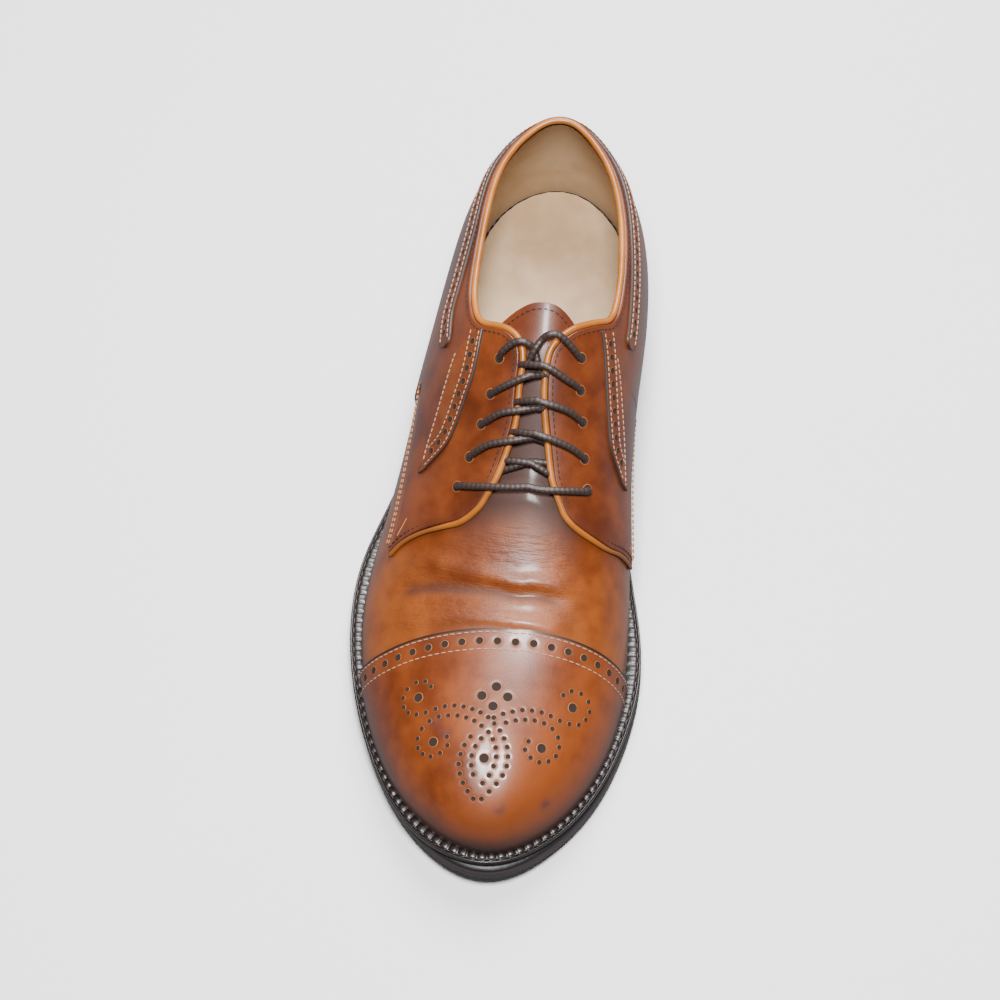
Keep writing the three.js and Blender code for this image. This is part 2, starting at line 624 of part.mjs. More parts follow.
function laceTop() {
  const [[lv, lc], [mv, mc]] = eyeletRow(0);
  const meet = [5.22, 0.005, LACE_LOW];
  return strand([[lv, lc, LACE_SEAT], [lv - 0.2, 0.68 * lc, LACE_SEAT], [5.12, 0.3 * lc, 2.2], meet])
    .add(strand([[mv, mc, LACE_SEAT], [mv - 0.2, 0.7 * mc, LACE_SEAT], [5.02, 0.3 * mc, 2.4], meet]));
}

function laceCross(row) {
  const [[lv, lc], [mv, mc]] = eyeletRow(row);
  const middle = (lv + mv) / 2;
  const under = [
    [lv, lc, LACE_SEAT],
    [lv - 0.1, 0.68 * lc, LACE_SEAT],
    [middle - 0.07, -0.115, LACE_SEAT + 0.7],
    [middle - 0.1, -0.075, LACE_SEAT + 0.5],
    [middle - 0.12, -0.03, LACE_LOW + 1.2],
    [middle - 0.14, -0.01, LACE_LOW + 0.1],
  ];
  const over = [
    [mv, mc, LACE_SEAT],
    [mv - 0.05, 0.55 * mc, LACE_SEAT],
    [middle - 0.08, 0.08, LACE_SEAT + 0.8],
    [middle - 0.11, 0.04, LACE_SEAT + 0.5],
    [middle - 0.14, 0, 2.3],
    [middle - 0.2, -0.03, 1.2],
  ];
  return strand(under).add(strand(over));
}

function laceBar() {
  const [[lv, lc], [mv, mc]] = eyeletRow(EYELETS - 1);
  const overBeads = (f) => LACE_SEAT + BAR_RISE * Math.sqrt(Math.sin(Math.PI * f));
  const shares = [0, 0.14, 0.28, 0.48, 0.66, 0.84, 1];
  const rows = shares.map((f) => [lv + (mv - lv) * f, lc + (mc - lc) * f, overBeads(f)]);
  return strand(rows);
}

// Finishes
const leather = (color, roughness = 0.4) =>
  new THREE.MeshStandardMaterial({ color, roughness, metalness: 0 });
const TAN = leather(0xb5622a);
const CAP = leather(0xa85524);
const BINDING = leather(0xc98440, 0.5);
const LINING = leather(0xd9c3a0, 0.7);
const DARK_EDGE = leather(0x2c2224, 0.5);
const RUBBER = leather(0x2b2a2c, 0.8);
const CORD = leather(0x3a2b28, 0.7);

const shoe = new THREE.Group();
function add(name, manifold, material) {
  const mesh = new THREE.Mesh(toGeometry(manifold), material);
  mesh.name = name;
  shoe.add(mesh);
}

add('outsole', outsole(), RUBBER);
add('welt', welt(), DARK_EDGE);
add('heel_stack', heelStack(), DARK_EDGE);
add('heel_top_lift', heelTopLift(), RUBBER);
add('insole', insole(), LINING);
add('upper', upper(), TAN);
add('toe_cap', toeCap(), CAP);
add('quarter_lateral', quarter('lateral'), TAN);
add('quarter_medial', quarter('medial'), TAN);
add('leaf_lateral', leaf('lateral'), CAP);
add('leaf_medial', leaf('medial'), CAP);
add('counter_band', counterBand(), CAP);
add('collar_bead', collarBead(), BINDING);
add('tongue', tongue(), TAN);
add('lace_top', laceTop(), CORD);
for (let row = 1; row < EYELETS - 1; row++) add(`lace_cross_${row}`, laceCross(row), CORD);
add('lace_bar', laceBar(), CORD);

// The origin is under the middle of the shoe, on the floor
const box = new THREE.Box3().setFromObject(shoe);
const middle = box.getCenter(new THREE.Vector3());
shoe.position.set(-middle.x, -middle.y, -box.min.z);

export default shoe;
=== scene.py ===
import math

import bmesh
import bpy
import numpy as np
from mathutils import Matrix, Vector


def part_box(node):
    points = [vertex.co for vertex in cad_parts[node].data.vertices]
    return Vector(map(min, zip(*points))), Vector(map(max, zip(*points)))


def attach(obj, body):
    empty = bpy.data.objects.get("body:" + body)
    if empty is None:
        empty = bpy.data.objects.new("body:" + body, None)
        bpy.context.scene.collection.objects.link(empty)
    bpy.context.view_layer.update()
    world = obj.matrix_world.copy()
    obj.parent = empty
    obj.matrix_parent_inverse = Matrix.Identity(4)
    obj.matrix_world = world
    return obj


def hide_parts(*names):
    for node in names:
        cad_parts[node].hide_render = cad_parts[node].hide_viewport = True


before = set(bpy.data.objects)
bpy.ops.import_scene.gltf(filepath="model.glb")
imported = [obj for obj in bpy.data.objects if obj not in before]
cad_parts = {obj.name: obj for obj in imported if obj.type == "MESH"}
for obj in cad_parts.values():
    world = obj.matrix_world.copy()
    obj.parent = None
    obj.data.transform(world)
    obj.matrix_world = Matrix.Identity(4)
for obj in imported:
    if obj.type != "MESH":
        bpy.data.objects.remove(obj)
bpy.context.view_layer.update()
MM = 0.001


# Camera
# The photograph looks down on the toe, a little from the inner side, with a long lens from
# about two metres away, and the camera is rolled slightly.
AZIMUTH, ELEVATION, ROLL = (math.radians(angle) for angle in (9.47, 62.34, -1.71))
AIM = Vector((-4.8, -0.56, 35)) * MM
DISTANCE = 1952 * MM
looking = Vector((
    -math.sin(AZIMUTH) * math.cos(ELEVATION),
    math.cos(AZIMUTH) * math.cos(ELEVATION),
    -math.sin(ELEVATION),
))


def new_object(name, data):
    made = bpy.data.objects.new(name, data)
    bpy.context.scene.collection.objects.link(made)
    return made


camera = new_object("camera", bpy.data.cameras.new("camera"))
camera.data.lens = 179.2
camera.data.sensor_width = 36
camera.matrix_world = (
    Matrix.Translation(AIM - looking * DISTANCE)
    @ looking.to_track_quat("-Z", "Y").to_matrix().to_4x4()
    @ Matrix.Rotation(ROLL, 4, "Z")
)
bpy.context.scene.camera = camera


# Floor and light
# A plain pale floor under soft studio light: a lamp high over the toe, a broader one behind the
# heel, and a dim white surround. The floor is pale to the camera and dark to all other rays, so
# that it doesn't turn the leather's sides grey. Shader maths is written as sums of wires.
class Wire:
    """One output of a material's nodes."""

    def __init__(self, tree, socket=None):
        self.tree, self.socket = tree, socket

    def node(self, kind, settings=None, sockets=None, out=0):
        made = self.tree.nodes.new("ShaderNode" + kind)
        for name, value in (settings or {}).items():
            setattr(made, name, value)
        for name, value in (sockets or {}).items():
            if isinstance(value, Wire):
                self.tree.links.new(value.socket, made.inputs[name])
            else:
                made.inputs[name].default_value = value
        return Wire(self.tree, made.outputs[out])

    def sum(self, operation, first, second=0.0):
        return self.node("Math", {"operation": operation}, {0: first, 1: second})

    def __add__(self, other):
        return self.sum("ADD", self, other)

    def __sub__(self, other):
        return self.sum("SUBTRACT", self, other)

    def __rsub__(self, other):
        return self.sum("SUBTRACT", other, self)

    def __mul__(self, other):
        return self.sum("MULTIPLY", self, other)

    def __pow__(self, other):
        return self.sum("POWER", self, other)

    __radd__, __rmul__ = __add__, __mul__

    def between(self, low, high):
        spread = {"From Min": low, "From Max": high}
        return self.node("MapRange", {"interpolation_type": "SMOOTHSTEP"}, {"Value": self, **spread})

    def mix(self, first, second):
        ends = {0: self, 6: first, 7: second}
        return self.node("Mix", {"data_type": "RGBA"}, ends, out=2)

    def place(self):
        """The place on the object, in metres from its own origin."""
        return self.node("TexCoord", out=3)

    def noise(self, scale, detail=3.0, stretch=(1, 1, 1)):
        where = self.node("Mapping", None, {"Vector": self.place(), "Scale": stretch})
        return self.node("TexNoise", None, {"Vector": where, "Scale": scale, "Detail": detail})

    def cells(self, scale):
        settings = {"feature": "SMOOTH_F1"}
        return self.node("TexVoronoi", settings, {"Vector": self.place(), "Scale": scale})

    def mark(self, name):
        return self.node("Attribute", {"attribute_name": name}, out=2)


def new_finish(name, coat=0.0, coat_roughness=0.2):
    material = bpy.data.materials.new(name)
    material.use_nodes = True
    shader = material.node_tree.nodes["Principled BSDF"]
    shader.inputs["Coat Weight"].default_value = coat
    shader.inputs["Coat Roughness"].default_value = coat_roughness
    return material, Wire(material.node_tree), shader


def feed(wire, shader, color, roughness, height, depth):
    bump = wire.node("Bump", None, {"Height": height, "Strength": 1.0, "Distance": depth})
    for name, value in (("Base Color", color), ("Roughness", roughness), ("Normal", bump)):
        wire.tree.links.new(value.socket, shader.inputs[name])


floor_bm = bmesh.new()
bmesh.ops.create_grid(floor_bm, x_segments=1, y_segments=1, size=3)
floor_mesh = bpy.data.meshes.new("floor")
floor_bm.to_mesh(floor_mesh)
floor = new_object("floor", floor_mesh)
floor_finish, wire, shader = new_finish("pale_floor")
paper = wire.noise(6).mix((0.93, 0.93, 0.94, 1), (0.96, 0.96, 0.96, 1))
paper = wire.node("LightPath").mix((0.15, 0.15, 0.16, 1), paper)
feed(wire, shader, paper, wire.noise(40) * 0.1 + 0.6, wire.noise(900), 0.00005)
floor_mesh.materials.append(floor_finish)

world = bpy.data.worlds.new("surround")
world.use_nodes = True
world.node_tree.nodes["Background"].inputs["Color"].default_value = (1, 0.985, 0.97, 1)
world.node_tree.nodes["Background"].inputs["Strength"].default_value = 0.12
bpy.context.scene.world = world


def soft_lamp(name, place, aim, size, power):
    lamp = bpy.data.lights.new(name, "AREA")
    lamp.size, lamp.energy = size, power
    holder = new_object(name, lamp)
    holder.location = place
    holder.rotation_euler = (Vector(aim) - Vector(place)).to_track_quat("-Z", "Y").to_euler()


soft_lamp("overhead", (0.06, -0.3, 1.3), (0, -0.08, 0.05), 0.3, 35)
soft_lamp("behind", (0.05, 0.75, 1.1), (0, 0, 0.05), 0.6, 27)


# Vamp
# Cognac calfskin, polished. It covers the forefoot from the cap seam back to the throat, where
# it runs on into the tongue, and walking has pressed a few soft folds across it. It is drawn
# over a last: a ring where foot meets welt, a crest line, and a rising curve between the two.
LENGTH = 288 * MM
BALL_WIDTH = 104 * MM
HEEL_WIDTH = 72 * MM
INSTEP_HEIGHT = 88 * MM
HEEL_PITCH = 21 * MM
TOE_SPRING = 6.6 * MM
SOLE_THICK = 7.2 * MM
WELT_THICK = 3.9 * MM
WELT_REACH = 7.4 * MM
GAP = 0.3 * MM
BOTTOM = SOLE_THICK + WELT_THICK + 2 * GAP

# along, ball, lateral, medial, pitch, spring, | crest along, side, rise, | out, up, across: L, M
SECTIONS = np.array([
    [0, 0, -0.021, -0.021, 1, 0, 0.122, -0.014, 0.998, 0.16, 0.16, 0.4, 0.4, 0.84, 0.84],
    [0.021, 0, -0.25, 0.201, 1, 0, 0.128, -0.014, 0.997, 0.2, 0.2, 0.38, 0.4, 0.6, 0.66],
    [0.083, 0, -0.431, 0.396, 0.976, 0, 0.153, 0, 0.994, 0.26, 0.24, 0.36, 0.4, 0.46, 0.58],
    [0.177, 0, -0.5, 0.486, 0.905, 0, 0.198, 0.028, 0.989, 0.32, 0.32, 0.34, 0.4, 0.44, 0.62],
    [0.278, 0.25, -0.488, 0.45, 0.738, 0, 0.278, 0.05, 0.994, 0.32, 0.42, 0.33, 0.43, 0.46, 0.66],
    [0.378, 0.5, -0.494, 0.403, 0.476, 0, 0.368, 0.057, 0.966, 0.24, 0.5, 0.31, 0.44, 0.52, 0.68],
    [0.483, 0.75, -0.51, 0.406, 0.167, 0, 0.462, 0.063, 0.881, 0.12, 0.42, 0.28, 0.45, 0.52, 0.66],
    [0.583, 1, -0.515, 0.438, 0, 0, 0.556, 0.063, 0.75, 0.07, 0.18, 0.32, 0.5, 0.5, 0.64],
    [0.688, 1, -0.523, 0.477, 0, 0, 0.653, 0.063, 0.591, 0.07, 0.05, 0.4, 0.55, 0.52, 0.6],
    [0.795, 1, -0.464, 0.466, 0, 0, 0.736, 0.053, 0.489, 0.04, 0.04, 0.5, 0.6, 0.56, 0.6],
    [0.896, 1, -0.341, 0.38, 0, 0.227, 0.802, 0.048, 0.426, 0.03, 0.04, 0.6, 0.64, 0.62, 0.62],
    [0.969, 1, -0.163, 0.231, 0, 0.682, 0.844, 0.048, 0.375, 0.03, 0.03, 0.64, 0.64, 0.66, 0.66],
    [1, 1, 0.048, 0.048, 0, 1, 0.858, 0.048, 0.345, 0.03, 0.03, 0.66, 0.66, 0.68, 0.68],
])
# Shares by which the welt reaches beyond the ring, and the sole beyond the welt
REACH = {
    "lateral": (0.54, 0.5, 0.4, 0.3, 0.2, 0.14, 0.34, 0.8, 0.72, 0.58, 0.58, 0.76, 0.66),
    "medial": (0.54, 0.5, 0.4, 0.3, 0.22, 0.3, 0.35, 0.42, 0.77, 0.66, 0.6, 0.62, 0.66),
}
SOLE_REACH = 2.4 * MM
SOLE_SHARE = {
    "lateral": (0, 0, 0, 0, 0, 0, 0, 0, 0, -0.24, -0.3, -0.1, 1),
    "medial": (0, 0, 0, 0, 0, 0, 0, 0, 0, 0.2, 0.4, 0.6, 1),
}
TOE = len(SECTIONS) - 1


def spline_controls(rows, closed):
    controls = rows.copy()
    for _ in range(60):
        solved = (6 * rows - np.roll(controls, 1, 0) - np.roll(controls, -1, 0)) / 4
        if not closed:
            solved[0], solved[-1] = rows[0], rows[-1]
        controls = solved
    if closed:
        return controls
    return np.vstack([2 * controls[0] - controls[1], controls, 2 * controls[-1] - controls[-2]])


def spline_at(controls, closed, u):
    n = len(controls)
    first = np.floor(u).astype(int) if closed else np.clip(np.floor(u).astype(int), 0, n - 4)
    f = (u - first)[..., None]
    weights = ((1 - f) ** 3, 3 * f**3 - 6 * f**2 + 4, -3 * f**3 + 3 * f**2 + 3 * f + 1, f**3)
    start = first - 1 if closed else first
    return sum(w * controls[(start + k) % n] for k, w in enumerate(weights)) / 6


def ring_rows(side):
    way = 0 if side == "lateral" else 1
    width = HEEL_WIDTH + SECTIONS[:, 1] * (BALL_WIDTH - HEEL_WIDTH)
    lift = SECTIONS[:, 4] * HEEL_PITCH + SECTIONS[:, 5] * TOE_SPRING
    pulls = [SECTIONS[:, column + way] for column in (9, 11, 13)]
    reaches = np.array(REACH[side]) * WELT_REACH, np.array(SOLE_SHARE[side]) * SOLE_REACH
    return np.column_stack([
        width * SECTIONS[:, 2 + way], -SECTIONS[:, 0] * LENGTH, lift, *pulls, *reaches,
    ])


ring_controls = spline_controls(np.vstack([ring_rows("lateral"), ring_rows("medial")[-2:0:-1]]), True)
crest_width = HEEL_WIDTH + SECTIONS[:, 1] * (BALL_WIDTH - HEEL_WIDTH)
crest_base = BOTTOM + SECTIONS[:, 4] * HEEL_PITCH + SECTIONS[:, 5] * TOE_SPRING
crest_controls = spline_controls(
    np.column_stack([
        crest_width * SECTIONS[:, 7],
        -SECTIONS[:, 6] * LENGTH,
        crest_base + SECTIONS[:, 8] * INSTEP_HEIGHT,
    ]),
    False,
)


def station_of(q):
    turn = np.mod(q, 2 * TOE)
    return np.where(turn <= TOE, turn, 2 * TOE - turn)


def ring_at(q):
    return spline_at(ring_controls, True, np.asarray(q, float))


def sole_reach(q):
    return ring_at(q)[..., 6] + ring_at(q)[..., 7]


def lift_at(q):
    return np.maximum(0, ring_at(q)[..., 2] - 0.06 * MM)


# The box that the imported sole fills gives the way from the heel's corner to the origin
edge_q = np.linspace(0, 2 * TOE, 2000)
edge_tangent = ring_at(edge_q + 0.05)[:, :2] - ring_at(edge_q - 0.05)[:, :2]
edge_out = np.column_stack([edge_tangent[:, 1], -edge_tangent[:, 0]])
edge_out /= np.linalg.norm(edge_out, axis=1, keepdims=True)
sole_outline = ring_at(edge_q)[:, :2] + edge_out * sole_reach(edge_q)[:, None]
packed_sole = np.array(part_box("outsole"))[:, :2].mean(axis=0)
ORIGIN = np.append(packed_sole - (sole_outline.min(axis=0) + sole_outline.max(axis=0)) / 2, 0)


def unit(vectors):
    return vectors / np.maximum(np.linalg.norm(vectors, axis=-1, keepdims=True), 1e-12)


def crest_slope(v):
    low, high = np.maximum(v - 0.02, 0), np.minimum(v + 0.02, TOE)
    return spline_at(crest_controls, False, high) - spline_at(crest_controls, False, low)


def last(q, t):
    """The surface: q runs round the ring, t up from the ring (0) to the crest (1)."""
    q, t = np.broadcast_arrays(np.asarray(q, float), np.asarray(t, float))
    v = station_of(q)
    top = spline_at(crest_controls, False, v)
    ring = ring_at(q)
    foot = np.stack([ring[..., 0], ring[..., 1], BOTTOM + lift_at(q)], axis=-1)
    across = foot - top
    across[..., 2] = 0
    width = np.linalg.norm(across, axis=-1)
    side = unit(across)
    slope = crest_slope(v)
    fall = slope[..., 2] / np.linalg.norm(slope[..., :2], axis=-1)
    forward = (side[..., :2] * unit(slope[..., :2])).sum(-1)
    low = foot + side * (ring[..., 3] * width)[..., None]
    low[..., 2] += ring[..., 4] * (top[..., 2] - foot[..., 2])
    high = top + side * (ring[..., 5] * width)[..., None]
    high[..., 2] += fall * forward * ring[..., 5] * width
    t = t[..., None]
    curve = (1 - t) ** 3 * foot + 3 * (1 - t) ** 2 * t * low + 3 * (1 - t) * t**2 * high + t**3 * top
    return curve + ORIGIN


def outward(q, t):
    q, t = np.broadcast_arrays(np.asarray(q, float), np.asarray(t, float))
    step = 0.004
    around = last(q + step, t) - last(q - step, t)
    rising = last(q, np.minimum(t + step, 1)) - last(q, np.maximum(t - step, 0))
    slope = crest_slope(station_of(q))
    level = np.stack([slope[..., 1], -slope[..., 0], np.zeros_like(slope[..., 0])], axis=-1)
    on_crest = (t >= 1 - 1e-6)[..., None]
    return unit(np.where(on_crest, np.cross(level, slope), np.cross(around, rising)))


def over(q, t, height):
    """Points at a height over the last."""
    return last(q, t) + outward(q, t) * np.asarray(height, float)[..., None]


def look_up(rows, at, source=0):
    """A smooth curve through a table of pairs: one column at given values of the other."""
    rows = np.array(rows, float)
    x, y = rows[:, source], rows[:, 1 - source]
    slope = np.empty_like(y)
    slope[1:-1] = (y[2:] - y[:-2]) / (x[2:] - x[:-2])
    slope[0], slope[-1] = (y[1] - y[0]) / (x[1] - x[0]), (y[-1] - y[-2]) / (x[-1] - x[-2])
    at = np.clip(at, x[0], x[-1])
    i = np.clip(np.searchsorted(x, at, side="right") - 1, 0, len(x) - 2)
    width = x[i + 1] - x[i]
    f = (at - x[i]) / width
    ease = f * f * (3 - 2 * f)
    bend = f * (1 - f) * width * ((1 - f) * slope[i] - f * slope[i + 1])
    return y[i] * (1 - ease) + y[i + 1] * ease + bend


def ring_place(side, v):
    return v if side == "lateral" else 2 * TOE - v


def smooth(x):
    x = np.clip(x, 0, 1)
    return x * x * (3 - 2 * x)


def noise_like(points, size, seed):
    """Slow hills and hollows, -1 to 1, from a few fixed waves of about the given size."""
    waves = np.random.default_rng(seed)
    total = 0
    for _ in range(7):
        way = unit(waves.normal(size=3))
        total = total + np.sin(points @ way * waves.uniform(3.5, 8) / size + waves.uniform(0, 6.3))
    return total / 7


def grid_piece(name, columns, rows, shape, closed=False):
    """A mesh made from a grid: shape gives each vertex's place and marks, u and w from 0 to 1."""
    bm = bmesh.new()
    bmesh.ops.create_grid(bm, x_segments=columns, y_segments=rows, size=0.5)
    mesh = bpy.data.meshes.new(name)
    bm.to_mesh(mesh)
    flat = np.empty(len(mesh.vertices) * 3)
    mesh.vertices.foreach_get("co", flat)
    u, w = flat.reshape(-1, 3)[:, :2].T + 0.5
    placed, marks = shape(u, w)
    mesh.vertices.foreach_set("co", placed.ravel())
    for mark, values in marks.items():
        layer = mesh.attributes.new(mark, "FLOAT", "POINT")
        layer.data.foreach_set("value", np.broadcast_to(values, u.shape).astype(np.float32))
    bm.clear()
    bm.from_mesh(mesh)
    bmesh.ops.remove_doubles(bm, verts=bm.verts, dist=1e-6)
    if closed:
        bmesh.ops.recalc_face_normals(bm, faces=bm.faces)
    bm.to_mesh(mesh)
    bm.free()
    mesh.shade_smooth()
    return new_object(name, mesh)


def fit_piece(piece, material, slot, *nodes):
    piece.data.materials.append(material)
    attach(piece, "root")
    if nodes:
        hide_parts(*nodes)


def leather(name, deep, light, coat=0.2, grain=0.00007, gloss=0.36, waves=3):
    material, wire, shader = new_finish(name, coat, 0.17)
    cloud = wire.noise(22, 3) * 0.7 + wire.noise(120, 3) * 0.3
    tone = cloud.between(0.36, 0.64).mix(deep, light)
    streaks = (wire.noise(90, 3, (1, 0.3, 0.6)) - 0.5) * 0.5
    tone = streaks.between(0.02, 0.3).mix(tone, [c * 0.72 for c in deep[:3]] + [1])
    # The mark read here darkens the leather towards near black; it holds burnish in some places and painted
    # shade in others, as each piece sets it.
    burnish_and_shade_level = wire.mark("burnish_and_shade") + (cloud - 0.5) * 0.4
    tone = burnish_and_shade_level.between(0.05, 1.1).mix(tone, (0.03, 0.006, 0.002, 1))
    tone = wire.mark("edge").between(0.2, 0.9).mix(tone, (0.014, 0.005, 0.003, 1))
    tone = (wire.mark("stain") * 0.8).mix(tone, (0.035, 0.02, 0.03, 1))
    folds = wire.mark("folds")
    pores = wire.cells(1500) * 0.5 + wire.noise(700, 4) * 0.5
    creases = wire.noise(210, 3, (0.26, 1.6, 1.2)) - 0.5
    fine = wire.noise(520, 4, (0.24, 1.5, 1.2)) - 0.5
    lines = (creases * creases) ** 0.4 * 5.0 + (fine * fine) ** 0.4 * 3.0
    # Painted shade: the fine crease lines in the folded places are darkened towards the deep tone.
    tone = (folds * (0.5 - (fine * fine) ** 0.5 * 9.0)).between(0.2, 0.7).mix(tone, deep)
    rough = gloss + burnish_and_shade_level * 0.3 + (cloud - 0.5) * 0.2 + folds * 0.06 + wire.noise(500) * 0.06
    pores = pores * (folds * 0.5 + 0.5) + wire.noise(42, 2) * waves
    feed(wire, shader, tone, rough, pores + lines * folds, grain)
    return material


tan = leather("tan_calf", (0.12, 0.023, 0.0025, 1), (0.26, 0.062, 0.007, 1))
# The cap seam's stations across the shoe: outer welt -1, crest 0, inner welt 1
CAP_SEAM = (
    (-1, 8.66), (-0.8, 8.7), (-0.63, 8.717), (-0.43, 8.735), (-0.28, 8.776), (-0.14, 8.847),
    (-0.07, 8.899), (0, 8.965), (0.07, 8.864), (0.14, 8.781), (0.32, 8.626), (0.5, 8.528),
    (0.65, 8.476), (0.79, 8.44), (1, 8.38),
)
THROAT = 7
UNDER_FACING = -2.3 * MM

# Folds: places across the vamp (outer welt -1, crest 0, inner welt 1) and stations behind the
# cap seam, then rise in mm, half width in stations, and the places where the fold starts and ends
FOLDS = (
    (((-0.39, 1.04), (-0.26, 0.87), (-0.11, 0.78), (0, 0.74), (0.15, 0.69), (0.3, 0.66)),
     1.0, 0.11, -0.38, 0.2),
    (((-0.46, 0.73), (-0.25, 0.63), (-0.14, 0.59), (-0.03, 0.57), (0.1, 0.53), (0.3, 0.46)),
     -0.95, 0.1, -0.44, 0.16),
    (((-0.3, 0.24), (-0.19, 0.2), (-0.1, 0.17), (0, 0.14), (0.09, 0.11), (0.3, 0.07)),
     1.1, 0.12, -0.4, 0.2),
)


def fold_height(v, across):
    height = np.zeros_like(v)
    for line, rise, width, start, end in FOLDS:
        centre = look_up(CAP_SEAM, across) - look_up(line, across)
        reach = smooth((across - start + 0.16) / 0.16) * smooth((end + 0.16 - across) / 0.16)
        height += rise * MM * reach * np.exp(-(((v - centre) / width) ** 2))
    return height


def vamp_height(v):
    return UNDER_FACING * (1 - smooth((v - 6.72) / 0.5))


def vamp_shape(u, w):
    across = w * 2 - 1
    t = 1 - np.abs(across)
    back = 4.82 + 1.48 * smooth((t - 0.42) / 0.12) + 0.5 * smooth((t - 0.58) / 0.1)
    front = look_up(CAP_SEAM, across)
    v = back + u * (front + 0.3 - back)
    folds = fold_height(v, across)
    height = np.where(t > 0.66, vamp_height(v), 0) + folds
    # Painted shade: darker under the facings at the throat, low on the sides towards the welt and in the
    # fold troughs; the vamp is also darker along the cap seam.
    near_throat = smooth((7.9 - v) / 0.8) * smooth((t - 0.6) / 0.2)
    near_cap = np.exp(-np.abs(front - v) / 0.06)
    near_welt = smooth((0.26 - t) / 0.26)
    burnish_and_shade = 0.95 * near_throat + 0.4 * near_cap + 0.6 * near_welt
    burnish_and_shade += np.clip(-fold_height(v - 0.02, across) / MM, 0, 1) * 0.75
    middle = smooth((0.62 - np.abs(across + 0.1)) / 0.3)
    creased = smooth((v - 7.35) / 0.3) * smooth((front - 0.02 - v) / 0.2) * middle
    return over(np.where(across < 0, v, 2 * TOE - v), t, height), {"burnish_and_shade": burnish_and_shade, "folds": creased}


vamp = grid_piece("vamp", 190, 240, vamp_shape)
fit_piece(vamp, tan, "tan_leather", "upper")


# Lining
# Pale undyed calf, cut as one bag and glued inside the whole upper. It shows inside the collar,
# where the binding holds its rim.
RIM = {
    "lateral": (
        (0, 0.546), (1, 0.521), (2, 0.521), (3, 0.531), (4, 0.561), (4.45, 0.604), (4.8, 0.68),
        (5.05, 0.83), (5.3, 0.895), (5.8, 0.9), (6.2, 0.9), (6.5, 0.88), (6.8, 0.855), (7, 0.83),
    ),
    "medial": (
        (0, 0.546), (1, 0.521), (2, 0.521), (3, 0.524), (4, 0.539), (4.45, 0.586), (4.7, 0.7),
        (4.95, 0.82), (5.25, 0.92), (5.5, 0.945), (5.9, 0.942), (6.4, 0.905), (6.8, 0.87), (7, 0.83),
    ),
}


def rim_at(side, v):
    return look_up(RIM[side], np.minimum(v, THROAT))


def lining_shape(u, w):
    q = u * 2 * TOE
    v = station_of(q)
    top = np.where(q <= TOE, rim_at("lateral", v), rim_at("medial", v))
    top = top + (1 - top) * smooth((v - THROAT) / 0.25)
    sunk = np.where(v > 6.4, 2.6, 1.9) * MM
    # Painted shade: the lining darkens towards its foot, deep inside the shoe.
    return over(q, w * top, -sunk), {"burnish_and_shade": 0.35 * smooth((0.25 - w) / 0.2)}


lining_tan = leather("lining_calf", (0.40, 0.25, 0.13, 1), (0.52, 0.36, 0.21, 1), 0.05, 0.00005, 0.55)
lining = grid_piece("lining", 240, 40, lining_shape)
lining.data.flip_normals()
fit_piece(lining, lining_tan, "lining_leather", "upper")


# Toe cap
# A second layer of calf over the toe, its rear edge sewn down by a row of stitches each side
# of the punched holes. A rosette punched before the sewing fills the middle.
def on_top(v, across):
    """Station and place across (outer welt -1, crest 0, inner welt 1) as ring turn and rise."""
    return np.where(across < 0, v, 2 * TOE - v), 1 - np.abs(across)


def smooth_line(places, fineness=24):
    """Points along a soft curve through a few places."""
    places = np.array(places, float)
    ends = np.vstack([2 * places[0] - places[1], places, 2 * places[-1] - places[-2]])
    f = np.linspace(0, 1, fineness, endpoint=False)[:, None]
    pieces = []
    for a, b, c, d in zip(ends, ends[1:], ends[2:], ends[3:]):
        bend = 2 * b + f * (c - a) + f**2 * (2 * a - 5 * b + 4 * c - d) + f**3 * (3 * b - a - 3 * c + d)
        pieces.append(bend / 2)
    return np.vstack([*pieces, places[-1:]])


def step_aside(q, t, aside):
    """Moves a line sideways on the surface, to its left as it is walked."""
    for _ in range(3):
        step = 0.004
        around = (last(q + step, t) - last(q - step, t)) / (2 * step)
        low, high = np.maximum(t - step, 0), np.minimum(t + step, 1)
        rising = (last(q, high) - last(q, low)) / (high - low)[:, None]
        walk = unit(np.gradient(last(q, t), axis=0))
        wanted = np.cross(outward(q, t), walk) * aside / 3
        aa, ab, bb = (around**2).sum(1), (around * rising).sum(1), (rising**2).sum(1)
        wa, wb = (around * wanted).sum(1), (rising * wanted).sum(1)
        spread = aa * bb - ab * ab
        q = q + (wa * bb - wb * ab) / spread
        t = np.clip(t + (wb * aa - wa * ab) / spread, 0, 1)
    return q, t


def resample(points, pitch, start=0.0, end=0.0):
    """Places at an even pitch on a line of points: which row, and how far past it."""
    walked = np.append(0, np.cumsum(np.linalg.norm(np.diff(points, axis=0), axis=1)))
    length = walked[-1] - start - end
    count = max(1, int(round(length / pitch)))
    return np.interp(start + (np.arange(count) + 0.5) * length / count, walked, np.arange(len(points)))


def pick(values, rows):
    return np.column_stack([np.interp(rows, np.arange(len(values)), column) for column in values.T])


def seam(q, t, pitch, aside=0.0, height=0.0, start=0.0, end=0.0):
    """Even places along a line on the last, with the way the line runs and the way out."""
    if aside:
        q, t = step_aside(q, t, aside)
    points, out = over(q, t, height), outward(q, t)
    rows = resample(points, pitch, start, end)
    along = unit(np.gradient(points, axis=0))
    return pick(points, rows), unit(pick(along, rows)), unit(pick(out, rows))


